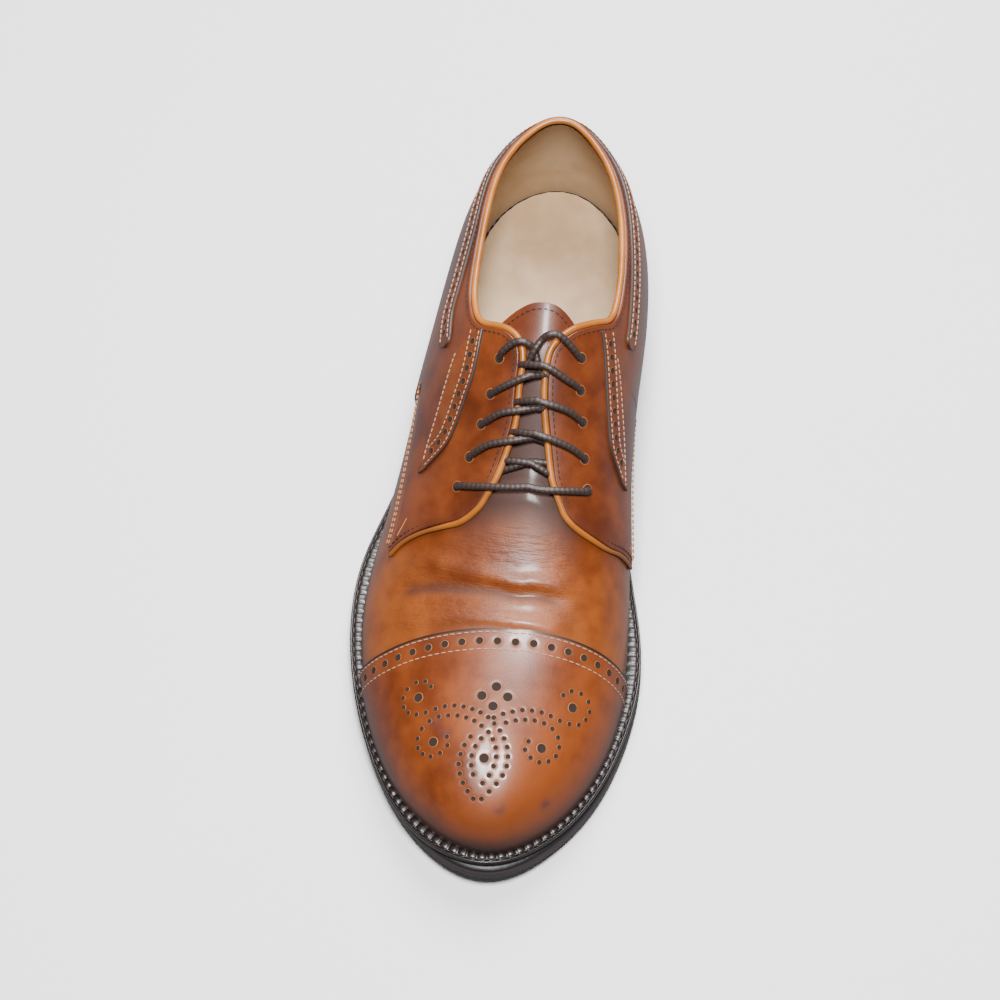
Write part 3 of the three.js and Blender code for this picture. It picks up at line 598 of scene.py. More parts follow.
def strew(name, template, points, along, out, material, slot="tan_leather"):
    """Copies of one small shape, each laid along its line with its top outwards."""
    side = unit(np.cross(out, along))
    out = np.cross(along, side)
    shape = np.empty(len(template.vertices) * 3)
    template.vertices.foreach_get("co", shape)
    shape = shape.reshape(-1, 3)
    turned = shape[:, 0, None] * along[:, None] + shape[:, 1, None] * side[:, None]
    turned = turned + shape[:, 2, None] * out[:, None] + points[:, None]
    bm = bmesh.new()
    for _ in range(len(points)):
        bm.from_mesh(template)
    mesh = bpy.data.meshes.new(name)
    bm.to_mesh(mesh)
    bm.free()
    mesh.vertices.foreach_set("co", turned.ravel())
    mesh.shade_smooth()
    fit_piece(new_object(name, mesh), material, slot)


def stitch_shape(length, width, high=0.3 * MM):
    bm = bmesh.new()
    bmesh.ops.create_uvsphere(bm, u_segments=8, v_segments=6, radius=1)
    bmesh.ops.rotate(bm, verts=bm.verts, cent=(0, 0, 0), matrix=Matrix.Rotation(math.pi / 2, 3, "Y"))
    bmesh.ops.scale(bm, verts=bm.verts, vec=(length / 2, width / 2, high))
    shape = bpy.data.meshes.new("stitch")
    bm.to_mesh(shape)
    bm.free()
    return shape


# A thin disc with a raised lip laid on the leather, not a cut: the mark called depth is set on its middle,
# which is painted dark as the shade inside a punched hole.
def hole_shape(radius):
    bm = bmesh.new()
    bmesh.ops.create_circle(bm, cap_ends=True, segments=16, radius=radius * 1.14)
    bmesh.ops.translate(bm, verts=bm.verts, vec=(0, 0, -0.04 * MM))
    for width, depth in ((0.1, 0.1), (0.1, -0.04)):
        bmesh.ops.inset_region(
            bm, faces=[max(bm.faces, key=lambda face: len(face.verts))],
            thickness=radius * width, depth=depth * MM, use_boundary=True,
        )
    shape = bpy.data.meshes.new("punched_hole")
    bm.to_mesh(shape)
    layer = shape.attributes.new("depth", "FLOAT", "POINT")
    layer.data.foreach_set("value", [float(v.co.xy.length < radius * 0.97) for v in shape.vertices])
    bm.free()
    return shape


def sew(name, places, length, thread_finish, width=0.5 * MM):
    strew(name, stitch_shape(length, width), *places, thread_finish)


def thread(name, color):
    material, wire, shader = new_finish(name)
    twist = wire.noise(2600, 2)
    tone = twist.mix([c * 0.6 for c in color[:3]] + [1], color)
    feed(wire, shader, tone, twist * 0.2 + 0.55, twist, 0.0001)
    return material


def punched(name, wall):
    material, wire, shader = new_finish(name)
    deep = wire.mark("depth")
    # Painted shade: the disc's middle is nearly black where a hole would show its dark inside, ringed by
    # the hole's wall colour.
    tone = deep.between(0.05, 0.7).mix(wall, (0.016, 0.006, 0.003, 1))
    feed(wire, shader, tone, deep * 0.45 + 0.45, wire.noise(900), 0.00005)
    return material


pale_thread = thread("pale_thread", (0.52, 0.30, 0.2, 1))
punched_tan = punched("punched_tan", (0.3, 0.1, 0.025, 1))
OVERLAY = 1.2 * MM
OVER_TOP = GAP + OVERLAY
SEWN = OVER_TOP + 0.05 * MM
edge_across = np.linspace(-1, 1, 121)
cap_q, cap_t = on_top(look_up(CAP_SEAM, edge_across), edge_across)
cap_holes = seam(cap_q, cap_t, 7 * MM, -5 * MM, OVER_TOP, 3 * MM, 3 * MM)

# The rosette: one side of it, in mm from where its lines cross, to the side and towards the toe.
# It lies a little turned on the shoe, with its middle on the crest.
ROSETTE_LINES = (
    (
        (23.4, -12.5), (28.2, -16.5), (33.6, -14.6), (34.6, -9.3), (31, -4.3), (25.2, -3.7), (19, -5.2),
        (12.3, -5.1), (5.7, -3.1), (0, 0), (-4.9, 5.1), (-8, 10.5), (-8.9, 16.8), (-6.7, 22.9),
        (-2.5, 28.1), (0, 30.1),
    ),
    (
        (15.5, 4.9), (14.5, 10.7), (19.9, 13.3), (25.2, 9.9), (25.9, 3.7), (21.9, -0.6), (15.4, -1.6),
        (8.8, -0.4), (2.9, 2.7), (-2.2, 7.5), (-4.5, 13.3), (-3.6, 19.6), (0, 25.3),
    ),
)
ROSETTE_PLACE = 6 * MM, -101.76 * MM
ROSETTE_DOTS = ((0, -13.1), (4.8, -9.3), (0, -5.2), (0, 14.9), (28.8, -10.1), (20, 8.2))


def evenly(line, pitch):
    line = smooth_line(line)
    return pick(line, resample(line, pitch))


small, large = [], []
for way in (-1, 1):
    small += [spot * (way, 1) for line in ROSETTE_LINES for spot in evenly(line, 3.6)]
    large += [np.array(spot) * (way, 1) for spot in ROSETTE_DOTS]


def single(spots, apart):
    kept = []
    for spot in spots:
        if all(np.linalg.norm(spot - other) > apart for other in kept):
            kept.append(spot)
    return np.array(kept)


# The cap is searched from above for the place under each spot
near_q, near_t = (
    grid.ravel() for grid in np.meshgrid(np.linspace(8.6, 15.4, 700), np.linspace(0.3, 1, 300))
)
cap_from_above = last(near_q, near_t)[:, :2]


def on_cap(spots):
    """Spots of the rosette as places on the cap, with the way forward and the way out."""
    spots = single(spots, 2)
    aside, ahead = spots.T * MM
    above = np.column_stack([
        ROSETTE_PLACE[0] + aside - 0.035 * ahead, ROSETTE_PLACE[1] - ahead + 0.058 * aside,
    ])
    nearest = [np.argmin(((cap_from_above - spot) ** 2).sum(1)) for spot in above]
    q, t = near_q[nearest], near_t[nearest]
    out = outward(q, t)
    return over(q, t, OVER_TOP), unit(np.cross(out, np.tile([1.0, 0, 0], (len(q), 1)))), out


rosette_small, rosette_large = on_cap(small), on_cap(large)
STAINS = ((-20.5, 0), (-16, 5), (8.5, 31.5), (25, 26))
stains = on_cap([np.array(spot, float) for spot in STAINS])[0]


def press(points, out, centres, radius, depth):
    """Sinks the surface softly round each centre."""
    fall = np.zeros(len(points))
    for centre in centres:
        near = np.linalg.norm(points - centre, axis=1) / radius
        fall = np.maximum(fall, depth * smooth(1.6 - near * 1.3))
    return points - out * fall[:, None]


def cap_shape(u, w):
    back = look_up(CAP_SEAM, w - 1)
    front = 2 * TOE - look_up(CAP_SEAM, 1 - w)
    inner = np.clip((u - 0.004) / 0.992, 0, 1)
    q = back + inner * (front - back)
    turned = (u > 0.001) & (u < 0.999)
    points = over(q, w, np.where(turned, OVER_TOP, 0.2 * MM))
    from_edge = np.minimum(inner, 1 - inner) * 6.4
    v = station_of(q)
    # The cap darkens along its rear edge; painted shade at the toe's front and low on the sides towards the
    # welt.
    toe = smooth((v - 10.6) / 1.6) * smooth((0.75 - w) / 0.4)
    burnish_and_shade = 0.5 * np.exp(-from_edge / 0.12) + 0.3 * toe + 0.75 * smooth((0.3 - w) / 0.3)
    out = outward(q, w)
    points = press(points, out, cap_holes[0], 2.1 * MM, 0.12 * MM)
    points = press(points, out, rosette_large[0], 2.6 * MM, 0.12 * MM)
    points = press(points, out, rosette_small[0], 1.5 * MM, 0.1 * MM)
    blots = sum(np.exp(-(((points - stain) ** 2).sum(1)) / (2.4 * MM) ** 2) for stain in stains)
    blots = blots * smooth(0.6 + 0.8 * noise_like(points, 4 * MM, 5))
    return points, {
        "burnish_and_shade": burnish_and_shade, "edge": np.where(from_edge < 0.03, 1.0, 0.0), "stain": np.clip(blots, 0, 1),
    }


cap = grid_piece("toe_cap_leather", 430, 150, cap_shape)
cap_calf = leather("cap_calf", (0.105, 0.019, 0.0025, 1), (0.225, 0.048, 0.006, 1), 0.3)
fit_piece(cap, cap_calf, "tan_leather", "toe_cap")
strew("cap_holes", hole_shape(1.45 * MM), *cap_holes, punched_tan)
strew("rosette_large_holes", hole_shape(1.85 * MM), *rosette_large, punched_tan)
strew("rosette_small_holes", hole_shape(0.95 * MM), *rosette_small, punched_tan)
for row, aside in enumerate((1.5 * MM, 8.4 * MM)):
    places = seam(cap_q, cap_t, 2.8 * MM, -aside, SEWN, 2 * MM, 2 * MM)
    sew(f"cap_stitches_{row + 1}", places, 2.3 * MM, pale_thread)


# Quarters
# The two sides of the shoe, in the same calf. Each is sewn over the vamp by a double seam low on
# the side, is left free at the front, and carries five punched eyelets.
QUARTER_FRONT = {
    "lateral": (
        (7.6, 0), (7.5, 0.2), (7.38, 0.34), (7.28, 0.43), (7.26, 0.53), (7.29, 0.66), (7.29, 0.73),
        (7.18, 0.79), (7, 0.83),
    ),
    "medial": (
        (6.9, 0), (6.96, 0.2), (7.06, 0.38), (7.17, 0.5), (7.21, 0.6), (7.21, 0.72), (7.14, 0.79),
        (7, 0.83),
    ),
}
SIDE_SEAM = {
    "lateral": (
        (4.93, 0.27), (5.02, 0.31), (5.25, 0.334), (5.58, 0.347), (5.91, 0.354), (6.25, 0.36),
        (6.6, 0.365), (6.92, 0.368), (7.17, 0.366), (7.35, 0.35), (7.7, 0.3),
    ),
    "medial": (
        (4.9, 0.17), (5.02, 0.187), (5.34, 0.213), (5.87, 0.26), (6.31, 0.255), (6.67, 0.235),
        (7, 0.205), (7.4, 0.18),
    ),
}
FRONT_FOOT = {"lateral": 0.352, "medial": 0.207}
SEAM_END = {"lateral": 7.24, "medial": 6.88}
EYELET_PLACES = {
    "lateral": ((5.37, 0.815), (5.79, 0.794), (6.14, 0.768), (6.52, 0.733), (6.86, 0.695)),
    "medial": ((5.21, 0.769), (5.59, 0.761), (5.94, 0.737), (6.36, 0.714), (6.71, 0.687)),
}
BAR_TACK = {"lateral": ((7.0, 0.45), (7.18, 0.41)), "medial": ((6.84, 0.29), (6.9, 0.25))}
brown_thread = thread("brown_thread", (0.03, 0.012, 0.008, 1))
orange_thread = thread("orange_thread", (0.5, 0.18, 0.06, 1))
quarter_calf = leather("quarter_calf", (0.075, 0.013, 0.0025, 1), (0.18, 0.038, 0.006, 1), waves=9)


def front_at(side, t):
    return look_up(QUARTER_FRONT[side], t, 1)


def quarter_low(side, v):
    return look_up(SIDE_SEAM[side], v) * smooth((v - 4.88) / 0.1)


def free_edge(side):
    """The quarter's edge from the heel along the collar and facing, then down its front."""
    v = np.concatenate([
        np.linspace(0, 4.2, 60), np.linspace(4.2, 5.3, 60)[1:], np.linspace(5.3, THROAT, 40)[1:-3],
    ])
    front_t = np.linspace(0.83, FRONT_FOOT[side], 50)[3:]
    q = ring_place(side, np.append(v, front_at(side, front_t)))
    return q, np.append(rim_at(side, v), front_t)


def quarter(side):
    way = 1 if side == "lateral" else -1

    def shape(u, w):
        foot = FRONT_FOOT[side]
        # Columns lie closest together where the seam begins, and the last one turns the edge in
        inner = np.interp(u, (0, 0.55, 0.68, 0.995, 1), (0, 0.665, 0.692, 1, 1))
        rise = np.clip((w - 0.004) / 0.992, 0, 1)
        v = inner * front_at(side, foot + w * (0.83 - foot))
        low = quarter_low(side, v)
        t = low + rise * (rim_at(side, v) - low)
        lifted = np.where((u > 0.998) | (w > 0.998), 0.2, 1) * smooth(0.05 + (t - low) / 0.022 + (v < 4.88))
        ahead = front_at(side, t) - v
        loose = 0.5 * MM * smooth(1 - ahead / 0.3) * smooth((t - 0.4) / 0.2)
        # Painted shade low on the side towards the welt; the quarter also darkens towards its free front,
        # along its top rim and round the back of the heel.
        near_front = np.exp(-ahead / 0.1)
        burnish_and_shade = 0.35 * near_front + 0.5 * smooth((0.16 - t) / 0.16) + 0.25 * smooth((rise - 0.93) / 0.07)
        burnish_and_shade += 0.3 * smooth((0.5 - v) / 0.5)
        lines = 0.5 * smooth((v - 5.2) / 0.8) * smooth((0.8 - rise) / 0.3) * smooth((rise - 0.2) / 0.2)
        points = over(ring_place(side, v), t, (OVER_TOP + loose) * lifted)
        return points, {"burnish_and_shade": burnish_and_shade, "folds": lines * 0.5}

    piece = grid_piece(f"quarter_{side}_leather", 300, 130, shape)
    if side == "medial":
        piece.data.flip_normals()
    fit_piece(piece, quarter_calf, "tan_leather", f"quarter_{side}")
    edge = step_aside(*free_edge(side), -way * 1.7 * MM)
    places = seam(*edge, 2.5 * MM, 0, SEWN + 0.1 * MM, 24 * MM, 2 * MM)
    sew(f"edge_stitches_{side}", places, 1.9 * MM, brown_thread)
    v = np.linspace(SEAM_END[side], 5.02, 90)
    q, t = ring_place(side, v), look_up(SIDE_SEAM[side], v)
    near, far = (np.array(step_aside(q, t, way * aside * MM)) for aside in (0.9, 2.7))
    turn = np.array([ring_place(side, 4.975), t[-1] + 0.012])[:, None]
    loop = np.hstack([near, turn, far[:, ::-1]])
    sew(f"side_stitches_{side}", seam(*loop, 2.3 * MM, 0, SEWN), 1.8 * MM, orange_thread)
    v, t = np.linspace(*BAR_TACK[side], 12).T
    sew(f"bar_tack_{side}", seam(ring_place(side, v), t, 1.1 * MM, 0, SEWN), 1.6 * MM, orange_thread)
    v, t = np.array(EYELET_PLACES[side]).T
    q = ring_place(side, v)
    along = unit(last(q + 0.05 * way, t) - last(q, t))
    places = over(q, t, OVER_TOP + 0.03 * MM), along, outward(q, t)
    strew(f"eyelets_{side}", hole_shape(2 * MM), *places, punched_tan)


for side in ("lateral", "medial"):
    quarter(side)


# Leaves and counter band
# Thin overlays of calf with dark edges and punched holes: a leaf on each quarter behind the
# eyelets, and a band round the heel under the collar. Both are sewn on along their edges.
LEAF = {
    "lateral": (
        ((4.9, 0.715), (5.41, 0.707), (5.74, 0.679), (6.03, 0.65), (6.25, 0.61), (6.42, 0.51)),
        ((5, 0.58), (5.12, 0.567), (5.33, 0.551), (5.82, 0.513), (6.1, 0.49), (6.42, 0.48)),
    ),
    "medial": (
        ((4.72, 0.67), (4.96, 0.637), (5.34, 0.604), (5.72, 0.574), (6, 0.542), (6.24, 0.45)),
        ((4.8, 0.54), (5.01, 0.502), (5.31, 0.463), (5.68, 0.423), (6.09, 0.398), (6.24, 0.395)),
    ),
}
TRIM = 0.8 * MM
TRIM_TOP = 2 * GAP + OVERLAY + TRIM
leaf_calf = leather("leaf_calf", (0.1, 0.018, 0.002, 1), (0.21, 0.047, 0.005, 1))
punched_dark = punched("punched_dark", (0.3, 0.1, 0.03, 1))
STRIP = 7 * MM


def leaf(side):
    """The leaf: a darker punched strip along its front, the plain rest, and a dark rear edge."""
    front, back = (smooth_line(line) for line in LEAF[side])
    way = 1 if side == "lateral" else -1

    def shape(u, w):
        inner_u, inner_w = np.clip((u - 0.01) / 0.98, 0, 1), np.clip((w - 0.03) / 0.94, 0, 1)
        rows = [inner_u * (len(line) - 1) for line in (front, back)]
        ahead, behind = pick(front, rows[0]), pick(back, rows[1])
        place = behind + (ahead - behind) * inner_w[:, None]
        q = ring_place(side, place[:, 0])
        middle = over(q, place[:, 1], 0)
        from_front, from_back = (
            np.linalg.norm(middle - over(ring_place(side, line[:, 0]), line[:, 1], 0), axis=1)
            for line in (ahead, behind)
        )
        rim = np.minimum(np.minimum(u, 1 - u) / 0.01, np.minimum(w, 1 - w) / 0.03)
        strip = smooth((STRIP - from_front) / (0.5 * MM) + 0.5)
        height = np.where(rim < 0.5, OVER_TOP - 0.2 * MM, TRIM_TOP - (1 - strip) * 0.45 * MM)
        edges = np.exp(-from_front / (0.5 * MM)) + 0.7 * np.exp(-from_back / (0.6 * MM))
        edges = edges + 0.6 * np.exp(-np.abs(from_front - STRIP) / (0.4 * MM))
        marks = {"burnish_and_shade": 0.02 + 0.42 * strip + 0.4 * edges, "edge": np.where(rim < 1.5, 0.8, 0.0)}
        return over(q, place[:, 1], height), marks

    piece = grid_piece(f"leaf_{side}_leather", 110, 44, shape, True)
    fit_piece(piece, leaf_calf, "tan_leather", f"leaf_{side}")
    rows = ((front, 1.2, TRIM_TOP), (front, 6, TRIM_TOP), (back, -1.2, TRIM_TOP - 0.45 * MM))
    for row, (line, aside, high) in enumerate(rows):
        q, t = ring_place(side, line[:, 0]), line[:, 1]
        places = seam(q, t, 2.2 * MM, -way * aside * MM, high + 0.05 * MM, 1 * MM, max(aside, 1) * MM)
        sew(f"leaf_{side}_stitches_{row + 1}", places, 1.7 * MM, pale_thread, 0.4 * MM)
    q, t = ring_place(side, front[:, 0]), front[:, 1]
    places = seam(q, t, 5.2 * MM, -way * 3.6 * MM, TRIM_TOP, 3 * MM, 5 * MM)
    strew(f"leaf_{side}_holes", hole_shape(1.3 * MM), *places, punched_dark)


for side in ("lateral", "medial"):
    leaf(side)


BAND = {
    "lateral": ((0, 0.44), (1, 0.44), (2, 0.46), (3, 0.48), (3.8, 0.466), (4.3, 0.458), (4.85, 0.5)),
    "medial": ((0, 0.44), (1, 0.44), (2, 0.45), (3, 0.46), (3.8, 0.448), (4.3, 0.44), (4.55, 0.45)),
}
BAND_WIDTH = 8 * MM
band_line = np.vstack([
    np.column_stack([way * v, look_up(BAND[side], v)])
    for side, way, v in (
        ("medial", -1, np.linspace(4.55, 0, 110)), ("lateral", 1, np.linspace(0, 4.85, 110)[1:]),
    )
])
BAND_EDGES = [
    np.column_stack(step_aside(*band_line.T, way * BAND_WIDTH / 2)) for way in (-1, 1)
]


def band_shape(u, w):
    inner_u, inner_w = np.clip((u - 0.004) / 0.992, 0, 1), np.clip((w - 0.08) / 0.84, 0, 1)
    where = pick(band_line, inner_u * (len(band_line) - 1))
    low, high = (pick(edge, inner_u * (len(band_line) - 1)) for edge in BAND_EDGES)
    place = low + (high - low) * inner_w[:, None]
    from_end = np.minimum(inner_u, 1 - inner_u) * 215 * MM
    blunt = np.sqrt(np.clip(1 - (1 - np.clip(from_end / (BAND_WIDTH / 2), 0, 1)) ** 2, 0.02, 1))
    place = where + (place - where) * blunt[:, None]
    rim = np.minimum(np.minimum(u, 1 - u) / 0.004, np.minimum(w, 1 - w) / 0.08)
    height = np.where(rim < 0.5, OVER_TOP - 0.2 * MM, TRIM_TOP)
    near_edge = np.exp(-np.minimum(inner_w, 1 - inner_w) * 20)
    marks = {"burnish_and_shade": 0.12 + 0.5 * near_edge, "edge": np.where(rim < 1.5, 0.8, 0.0)}
    return over(place[:, 0], place[:, 1], height), marks


band = grid_piece("counter_band_leather", 330, 14, band_shape, True)
fit_piece(band, quarter_calf, "tan_leather", "counter_band")
for row, aside in enumerate((-2.9 * MM, 2.9 * MM)):
    places = seam(*band_line.T, 2.2 * MM, aside, TRIM_TOP + 0.05 * MM, 3 * MM, 3 * MM)
    sew(f"band_stitches_{row + 1}", places, 1.8 * MM, pale_thread, 0.42 * MM)
places = seam(*band_line.T, 5 * MM, 0, TRIM_TOP, 4 * MM, 4 * MM)
strew("band_holes", hole_shape(1.3 * MM), *places, punched_dark)


# Collar binding
# A rolled strip of lighter leather, in one piece round the collar, down both facings and on
# along the free front edge of each quarter, where it is thinner and polished dark.
BEAD = 2.6 * MM
bead_calf = leather("bead_calf", (0.3, 0.085, 0.008, 1), (0.46, 0.15, 0.018, 1), 0.2)


def tube(name, line, radius, material, slot, *nodes, around=12, surface=None):
    """A round strip along a line of points, with both ends rounded."""
    line = np.asarray(line)
    along = unit(np.gradient(line, axis=0))
    side = unit(np.cross(along, (0.31, 0.17, 0.94)))
    out = np.cross(side, along)

    def shape(u, w):
        rows, turn = u * (len(line) - 1), w * 2 * math.pi
        ring = pick(side, rows) * np.cos(turn)[:, None] + pick(out, rows) * np.sin(turn)[:, None]
        swell, marks = surface(u, turn) if surface else (1, {})
        ends = np.sqrt(np.clip(np.minimum(u, 1 - u) * (len(line) - 1) / 1.2, 0, 1))
        return pick(line, rows) + ring * (radius * ends * swell)[:, None], marks

    piece = grid_piece(name, max(24, len(line)), around, shape, True)
    fit_piece(piece, material, slot, *nodes)


halves = []
for side, way in (("medial", -1), ("lateral", 1)):
    q, t = free_edge(side)
    on_facing = smooth((station_of(q) - 6.1) / 0.9)
    aside_q, aside_t = step_aside(q, t, way * 0.45 * BEAD)
    halves.append(over(aside_q, aside_t, (-0.25 + 1.0 * on_facing) * MM))
line = np.vstack([halves[0][:0:-1], halves[1][1:]])
line = pick(line, resample(line, 1 * MM))
wrinkle = noise_like(line, 9 * MM, 3)


def rolled(u, turn):
    from_end = np.minimum(u, 1 - u) * len(line)
    front = smooth((42 - from_end) / 22)
    swell = 1 - 0.3 * front + 0.05 * np.interp(u, np.linspace(0, 1, len(wrinkle)), wrinkle)
    # Painted shade on the binding's underside; its ends along the quarters' fronts are thinner and polished
    # dark.
    return swell, {"burnish_and_shade": 0.5 * smooth((-np.sin(turn) - 0.2) / 0.6) + 0.55 * front}


tube("binding", line, BEAD / 2, bead_calf, "binding_leather", "collar_bead", surface=rolled)


# Tongue
# A cut of the quarters' calf, skived thin and sewn in under the throat, where it runs on from
# the vamp. It lies under the laces and ends in a stitched arc above the collar.
TONGUE_TOP = ((0, 4.68), (0.1, 4.69), (0.2, 4.8), (0.28, 4.98), (0.34, 5.3))


def tongue_shape(u, w):
    across = (w * 2 - 1) * 0.34
    side = np.where(across < 0, 0, 1)
    top = look_up(TONGUE_TOP, np.abs(across))
    inner = np.clip((u - 0.012) / 0.988, 0, 1)
    v = top + inner * (6.85 - top)
    q = np.where(side == 0, v, 2 * TOE - v)
    height = np.where(u < 0.006, -3.9 * MM, vamp_height(v) - 0.02 * MM)
    # The tongue is a little darker all over, with painted shade where it runs forward under the laces and
    # facings.
    burnish_and_shade = 0.25 + 0.6 * smooth((v - 5.2) / 0.5)
    return over(q, 1 - np.abs(across), height), {"burnish_and_shade": burnish_and_shade}


tongue = grid_piece("tongue_leather", 120, 70, tongue_shape)
wall = tongue.modifiers.new("wall", "SOLIDIFY")
wall.thickness, wall.offset = 1.7 * MM, -1
fit_piece(tongue, quarter_calf, "tan_leather", "tongue")

w = np.linspace(-0.3, 0.3, 60)
arc_q, arc_t = on_top(look_up(TONGUE_TOP, np.abs(w)), w)
places = seam(arc_q, arc_t, 2.4 * MM, -2.6 * MM, UNDER_FACING + 0.1 * MM)
sew("tongue_stitches", places, 1.8 * MM, brown_thread)


# Insole
# The pale leather sock that the foot stands on, cut to the last's sole and glued flat inside
# the upper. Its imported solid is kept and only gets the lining's leather.
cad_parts["insole"].data.materials.clear()
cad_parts["insole"].data.materials.append(lining_tan)


# Welt
# A dark waxed strip sewn to the upper all round and to the sole through its top. A wheel has
# pressed a rib between every two stitches, and a thin smooth rim is left outside them.
def waxed(name, color, gloss, coat, clouds, shade, deep, grain, depth):
    """A dark finish: cloudy in tone, nearly black where its mark is set, which is painted shade in grooves
    and undersides and dark joints on the heel.
    """
    material, wire, shader = new_finish(name, *coat)
    cloud = wire.noise(*clouds)
    tone = cloud.mix([c * shade for c in color] + [1], (*color, 1))
    tone = wire.mark("shade_and_joint").between(0.1, 0.9).mix(tone, (*deep, 1))
    feed(wire, shader, tone, gloss + cloud * 0.2, wire.noise(*grain), depth)
    return material


def beside(q, out, z):
    tangent = ring_at(q + 0.02)[:, :2] - ring_at(q - 0.02)[:, :2]
    way = unit(np.column_stack([tangent[:, 1], -tangent[:, 0]]))
    flat = ring_at(q)[:, :2] + way * np.reshape(out, (-1, 1))
    return np.column_stack([flat, z]) + ORIGIN


welt_wax = waxed(
    "welt_wax", (0.016, 0.009, 0.009), 0.32, (0.3, 0.2), (60, 4), 0.6, (0.004, 0.0025, 0.0025),
    (900, 4), 0.0001,
)
walk_q = np.linspace(0, 2 * TOE, 4000)
outer = beside(walk_q, ring_at(walk_q)[:, 6], lift_at(walk_q))
edge_walk = np.append(0, np.cumsum(np.linalg.norm(np.diff(outer, axis=0), axis=1)))
RIBS = int(round(edge_walk[-1] / (4.2 * MM)))
WELT_PROFILE = (
    # mm inside the outer edge, height under the welt's top, painted shade in the channel, behind the ribs
    # and underneath, how much of the rib
    (12, -0.7, 1, 0), (8.6, -0.7, 1, 0), (5.6, -0.5, 0.8, 0.2), (4.6, -0.15, 0.2, 0.8), (3.4, 0, 0, 1),
    (2.4, 0, 0, 1), (1.7, -0.2, 0, 1), (1.35, -0.6, 0.3, 0.8), (1.1, -0.75, 0.7, 0), (0.9, -0.45, 0.1, 0),
    (0.35, -0.35, 0, 0), (0.05, -0.6, 0, 0), (0, -1.2, 0, 0), (0, -2.6, 0.1, 0), (0.4, -3.6, 0.6, 0),
    (1.2, -3.9, 1, 0), (5, -3.9, 1, 0),
)


def welt_shape(u, w):
    q = np.interp(u * edge_walk[-1], edge_walk, walk_q)
    inside, down, shade_and_joint, ribbed = pick(np.array(WELT_PROFILE), w * (len(WELT_PROFILE) - 1)).T
    reach = ring_at(q)[:, 6]
    rib = np.sqrt(np.abs(np.cos(u * RIBS * math.pi)))
    z = BOTTOM + lift_at(q) - 0.3 * MM + (down - 0.75 * ribbed * (1 - rib)) * MM
    # Painted shade in the dips between the ribs, added to the profile's.
    welt_shade = np.clip(shade_and_joint + ribbed * np.clip(0.75 - rib, 0, 1) * 1.4, 0, 1)
    return beside(q, reach - inside * MM, z), {"shade_and_joint": welt_shade}


welt = grid_piece("welt_strip", RIBS * 8, 34, welt_shape, True)
fit_piece(welt, welt_wax, "dark_edge", "welt")
waxed_thread = thread("waxed_thread", (0.1, 0.075, 0.07, 1))
rim_q = np.interp((np.arange(RIBS) + 0.5) / RIBS * edge_walk[-1], edge_walk, walk_q)
level = np.full(RIBS, -0.75 * MM)
stitches = beside(rim_q, ring_at(rim_q)[:, 6] - 1.5 * MM, BOTTOM + lift_at(rim_q) + level)
along = unit(np.roll(stitches, -1, 0) - np.roll(stitches, 1, 0))
strew(
    "welt_stitches", stitch_shape(2.4 * MM, 0.55 * MM, 0.4 * MM), stitches, along,
    np.tile([0, 0, 1.0], (RIBS, 1)), waxed_thread, "dark_edge",
)


# Outsole
# One studded rubber sole with a waxed grey-brown edge, stepped in under the welt and finely
# serrated at its lower edge. Short bars cover the forepart underneath.
RUBBER = (0.1, 0.35), (45, 4), 0.7, (0.006, 0.004, 0.004), (700, 4), 0.00015
sole_rubber = waxed("sole_rubber", (0.05, 0.036, 0.036), 0.38, *RUBBER)
SOLE_PROFILE = (
    # mm inside the sole's edge, share of the height, painted shade under the welt
    (5, 1, 1), (0.9, 1, 1), (0.75, 0.94, 1), (0.6, 0.87, 0.5), (0.15, 0.8, 0), (0, 0.7, 0), (0, 0.5, 0),
    (0, 0.3, 0), (0.1, 0.2, 0), (0.3, 0.1, 0), (0.8, 0.02, 0), (1.4, 0, 0), (6, 0, 0.2),
)
TEETH = int(RIBS * 1.5)


def sole_shape(u, w):
    q = np.interp(u * edge_walk[-1], edge_walk, walk_q)
    inside, share, shade_and_joint = pick(np.array(SOLE_PROFILE), w * (len(SOLE_PROFILE) - 1)).T
    tooth = 0.5 - 0.5 * np.cos(u * TEETH * 2 * math.pi)
    bite = smooth((0.26 - share) / 0.14) * smooth((station_of(q) - 4.6) / 0.6) * tooth
    z = lift_at(q) + share * SOLE_THICK
    # Painted shade in the notches between the teeth.
    marks = {"shade_and_joint": np.clip(shade_and_joint + bite * 0.5, 0, 1)}
    return beside(q, sole_reach(q) - (inside + 0.6 * bite) * MM, z), marks


sole_edge = grid_piece("outsole_edge", TEETH * 8, 24, sole_shape, True)
fit_piece(sole_edge, sole_rubber, "sole_rubber", "outsole")


def tread_shape(u, w):
    v, across = u * TOE, w
    left, right = (
        beside(q, sole_reach(q) - 5.5 * MM, lift_at(q)) for q in (v, 2 * TOE - v)
    )
    place = left + (right - left) * across[:, None]
    along, wide = place[:, 1] / (7 * MM), place[:, 0] / (11 * MM)
    row = np.floor(along)
    bar = smooth((np.abs(along - row - 0.5) - 0.3) / 0.06)
    gap = smooth((np.abs((wide + 0.5 * row) % 1 - 0.5) - 0.4) / 0.04)
    studded = smooth((v - 6.2) / 0.2) * smooth((11.4 - v) / 0.3)
    sunk = np.maximum(bar, gap) * studded
    place[:, 2] += 0.9 * MM * sunk
    # Painted shade in the sunk grooves between the bars; the whole tread is a little darker.
    return place, {"shade_and_joint": 0.2 + 0.6 * sunk}


tread = grid_piece("outsole_tread", 420, 120, tread_shape)
tread.data.flip_normals()
fit_piece(tread, sole_rubber, "sole_rubber", "outsole")


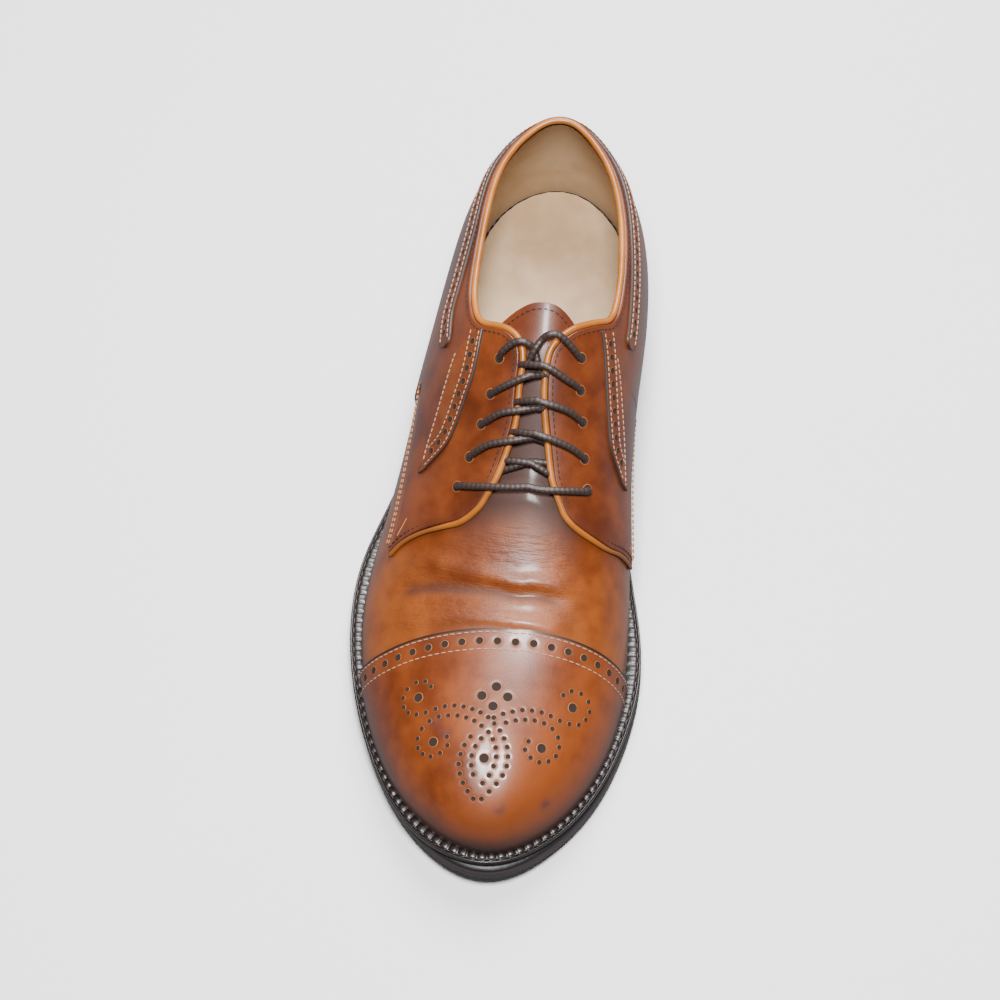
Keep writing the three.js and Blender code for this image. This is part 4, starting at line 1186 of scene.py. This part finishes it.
# Heel
# Three dark leather layers pressed and waxed together under the sole, over a rubber top lift
# that stands on the floor. It narrows a little downwards and its front face is flat.
BREAST = 3.67
TOP_LIFT = 6 * MM
HEEL_TAPER = 2.4 * MM
LIFT_SHARE = 0.22


def heel_edge(u, share, aside):
    """The heel's outline at a share of its height: round the back, then straight across."""
    inset = 1.6 * MM + HEEL_TAPER * (1 - share) + aside

    def wall(q):
        above = TOP_LIFT + (share - LIFT_SHARE) / (1 - LIFT_SHARE) * (lift_at(q) - TOP_LIFT)
        z = np.where(share < LIFT_SHARE, share / LIFT_SHARE * TOP_LIFT, above)
        return beside(q, ring_at(q)[:, 6] - inset, z)

    back = wall(BREAST - 2 * BREAST * np.clip(u / 0.8, 0, 1))
    ends = [wall(np.full_like(u, end)) for end in (-BREAST, BREAST)]
    f = np.clip((u - 0.8) / 0.2, 0, 1)[:, None]
    front = ends[0] + (ends[1] - ends[0]) * f
    front[:, 1] += 1.5 * MM * np.sin(f[:, 0] * math.pi)
    return np.where((u < 0.8)[:, None], back, front)


def heel_piece(name, profile, material, slot, node):
    def shape(u, w):
        share, aside, inward, shade_and_joint = pick(np.array(profile), w * (len(profile) - 1)).T
        edge = heel_edge(u, share, aside * MM)
        middle = edge.mean(axis=0) * (1, 1, 0) + np.column_stack([0 * u, 0 * u, edge[:, 2]])
        return edge + (middle - edge) * inward[:, None], {"shade_and_joint": shade_and_joint}

    piece = grid_piece(name, 300, (len(profile) - 1) * 4, shape, True)
    fit_piece(piece, material, slot, node)


# Share of the height, mm inside the outline, share of the way to the middle, darkening at the joints
heel_piece(
    "heel_lift_rubber",
    ((0, 0.6, 1, 0.3), (0, 0.6, 0, 0.2), (0.02, 0.15, 0, 0), (0.06, 0, 0, 0), (0.2, 0, 0, 0),
     (0.218, 0.1, 0, 0.3), (0.224, 0.35, 0, 1), (0.224, 0.4, 1, 1)),
    waxed("heel_rubber", (0.022, 0.019, 0.019), 0.5, *RUBBER), "sole_rubber", "heel_top_lift",
)
layers = [(0.226, 0.35, 1, 1), (0.226, 0.3, 0, 1)]
for low, high in ((0.23, 0.48), (0.486, 0.736), (0.742, 0.985)):
    layers += [(low, 0.22, 0, 1), (low + 0.012, 0, 0, 0), (high - 0.012, 0, 0, 0), (high, 0.22, 0, 1)]
layers += [(0.985, 0.3, 1, 1)]
layer_clouds = 70, 4, (1, 1, 4)
heel_wax = waxed(
    "heel_wax", (0.032, 0.02, 0.018), 0.25, (0.3, 0.25), layer_clouds, 0.6, (0.004, 0.003, 0.003),
    layer_clouds, 0.0002,
)
heel_piece("heel_stack_leather", layers, heel_wax, "dark_edge", "heel_stack")


# Laces
# Round waxed braid, dark brown. Each lace comes up through an eyelet, lies over its facing and
# dives under the other one, with the inner side's lace on top. A straight bar closes the front.
braid, wire, shader = new_finish("waxed_braid", 0.15, 0.3)
wax = wire.noise(1100, 3)
# Painted shade: the braid is darker in the dips between its strands.
tone = (wire.mark("braid_relief_shade") * 0.7 + wax * 0.3).mix((0.008, 0.005, 0.0045, 1), (0.05, 0.028, 0.022, 1))
feed(wire, shader, tone, wax * 0.25 + 0.38, wax, 0.0001)
LACE = 2.8 * MM
PLAIT = 0.62 * MM


def lace(name, places, *nodes):
    """A braid through places of station, place across and height over the last in mm."""
    line = smooth_line(places, 12)
    q, t = on_top(line[:, 0], line[:, 1])
    points = over(q, np.minimum(t, 0.9995), line[:, 2] * MM)
    points = pick(points, resample(points, 0.45 * MM))
    length = 0.45 * MM * (len(points) - 1)

    def twill(u, turn):
        wave = np.sin(4 * turn + u * length / PLAIT) * np.sin(4 * turn - u * length / PLAIT)
        return 1 + 0.07 * wave, {"braid_relief_shade": wave * 0.5 + 0.5}

    tube(name, points, LACE / 2, braid, "lace_cord", *nodes, around=24, surface=twill)


lace(
    "lace_top_outer",
    ((5.4, -0.178, -2.5), (5.37, -0.182, 0.6), (5.31, -0.165, 3), (5.23, -0.12, 3.5), (5.22, -0.085, 3.3),
     (5.27, -0.05, 1.6), (5.36, -0.03, -0.6), (5.5, -0.012, -1.1)),
    "lace_top",
)
lace(
    "lace_top_inner",
    ((5.28, 0.22, -2.5), (5.24, 0.225, 0.6), (5.2, 0.185, 3), (5.13, 0.13, 3.6), (5.09, 0.08, 3.9),
     (5.12, 0.035, 3.4), (5.2, 0, 1.7), (5.33, -0.03, 1.4), (5.5, -0.06, -0.4)),
    "lace_top",
)
CROSSINGS = (
    (
        "lace_cross_1", (5.8, -0.203), (5.66, -0.05), (5.6, 0.08), (5.59, 0.233), (5.52, 0.04),
        (5.5, -0.13),
    ),
    (
        "lace_cross_2", (6.15, -0.228), (6.07, -0.07), (6.02, 0.07), (5.95, 0.258), (5.955, 0.05),
        (5.96, -0.14),
    ),
    (
        "lace_cross_3", (6.52, -0.265), (6.44, -0.08), (6.42, 0.07), (6.37, 0.283), (6.365, 0.05),
        (6.33, -0.15),
    ),
)
for node, eye, middle, end, far_eye, far_middle, far_end in CROSSINGS:
    dip = (eye[0] + 0.03, eye[1] + 0.008)
    lace(
        f"{node}_outer",
        ((*dip, -2.5), (*eye, 0.6), (eye[0] - 0.03, eye[1] + 0.035, 3), (eye[0] - 0.08, eye[1] + 0.09, 3.4),
         (*middle, 2.6), (middle[0] - 0.02, 0, 0.6), (*end, -0.8), (end[0], 0.13, -1)),
        node,
    )
    dip = (far_eye[0] + 0.03, far_eye[1] - 0.008)
    lace(
        f"{node}_inner",
        ((*dip, -2.5), (*far_eye, 0.6), (far_eye[0] - 0.01, far_eye[1] - 0.04, 3),
         (far_eye[0] - 0.02, far_eye[1] - 0.1, 3.7), (*far_middle, 4), (far_middle[0], -0.02, 2.9),
         (far_end[0], -0.09, 0.4), (*far_end, -1)),
        node,
    )
lace(
    "lace_bar_braid",
    ((6.88, -0.298, -2.5), (6.865, -0.305, 0.6), (6.88, -0.28, 3), (6.95, -0.2, 3.4), (7.02, -0.08, 3.2),
     (7.02, 0.04, 3.2), (6.93, 0.15, 3.4), (6.79, 0.27, 3.2), (6.73, 0.31, 2.8), (6.71, 0.313, 0.6),
     (6.72, 0.305, -2.5)),
    "lace_bar",
)
for number, (rise, places) in enumerate((
    (0.4, ((6.6, -0.2), (6.68, -0.1), (6.74, 0), (6.78, 0.1), (6.8, 0.2))),
    (-0.6, ((6.82, -0.22), (6.78, -0.1), (6.72, 0), (6.65, 0.1), (6.56, 0.2))),
)):
    lace(
        f"lace_under_{number + 1}",
        [(v, across, -1.2 + (1.6 + rise) * (1 - (across / 0.2) ** 2)) for v, across in places],
    )
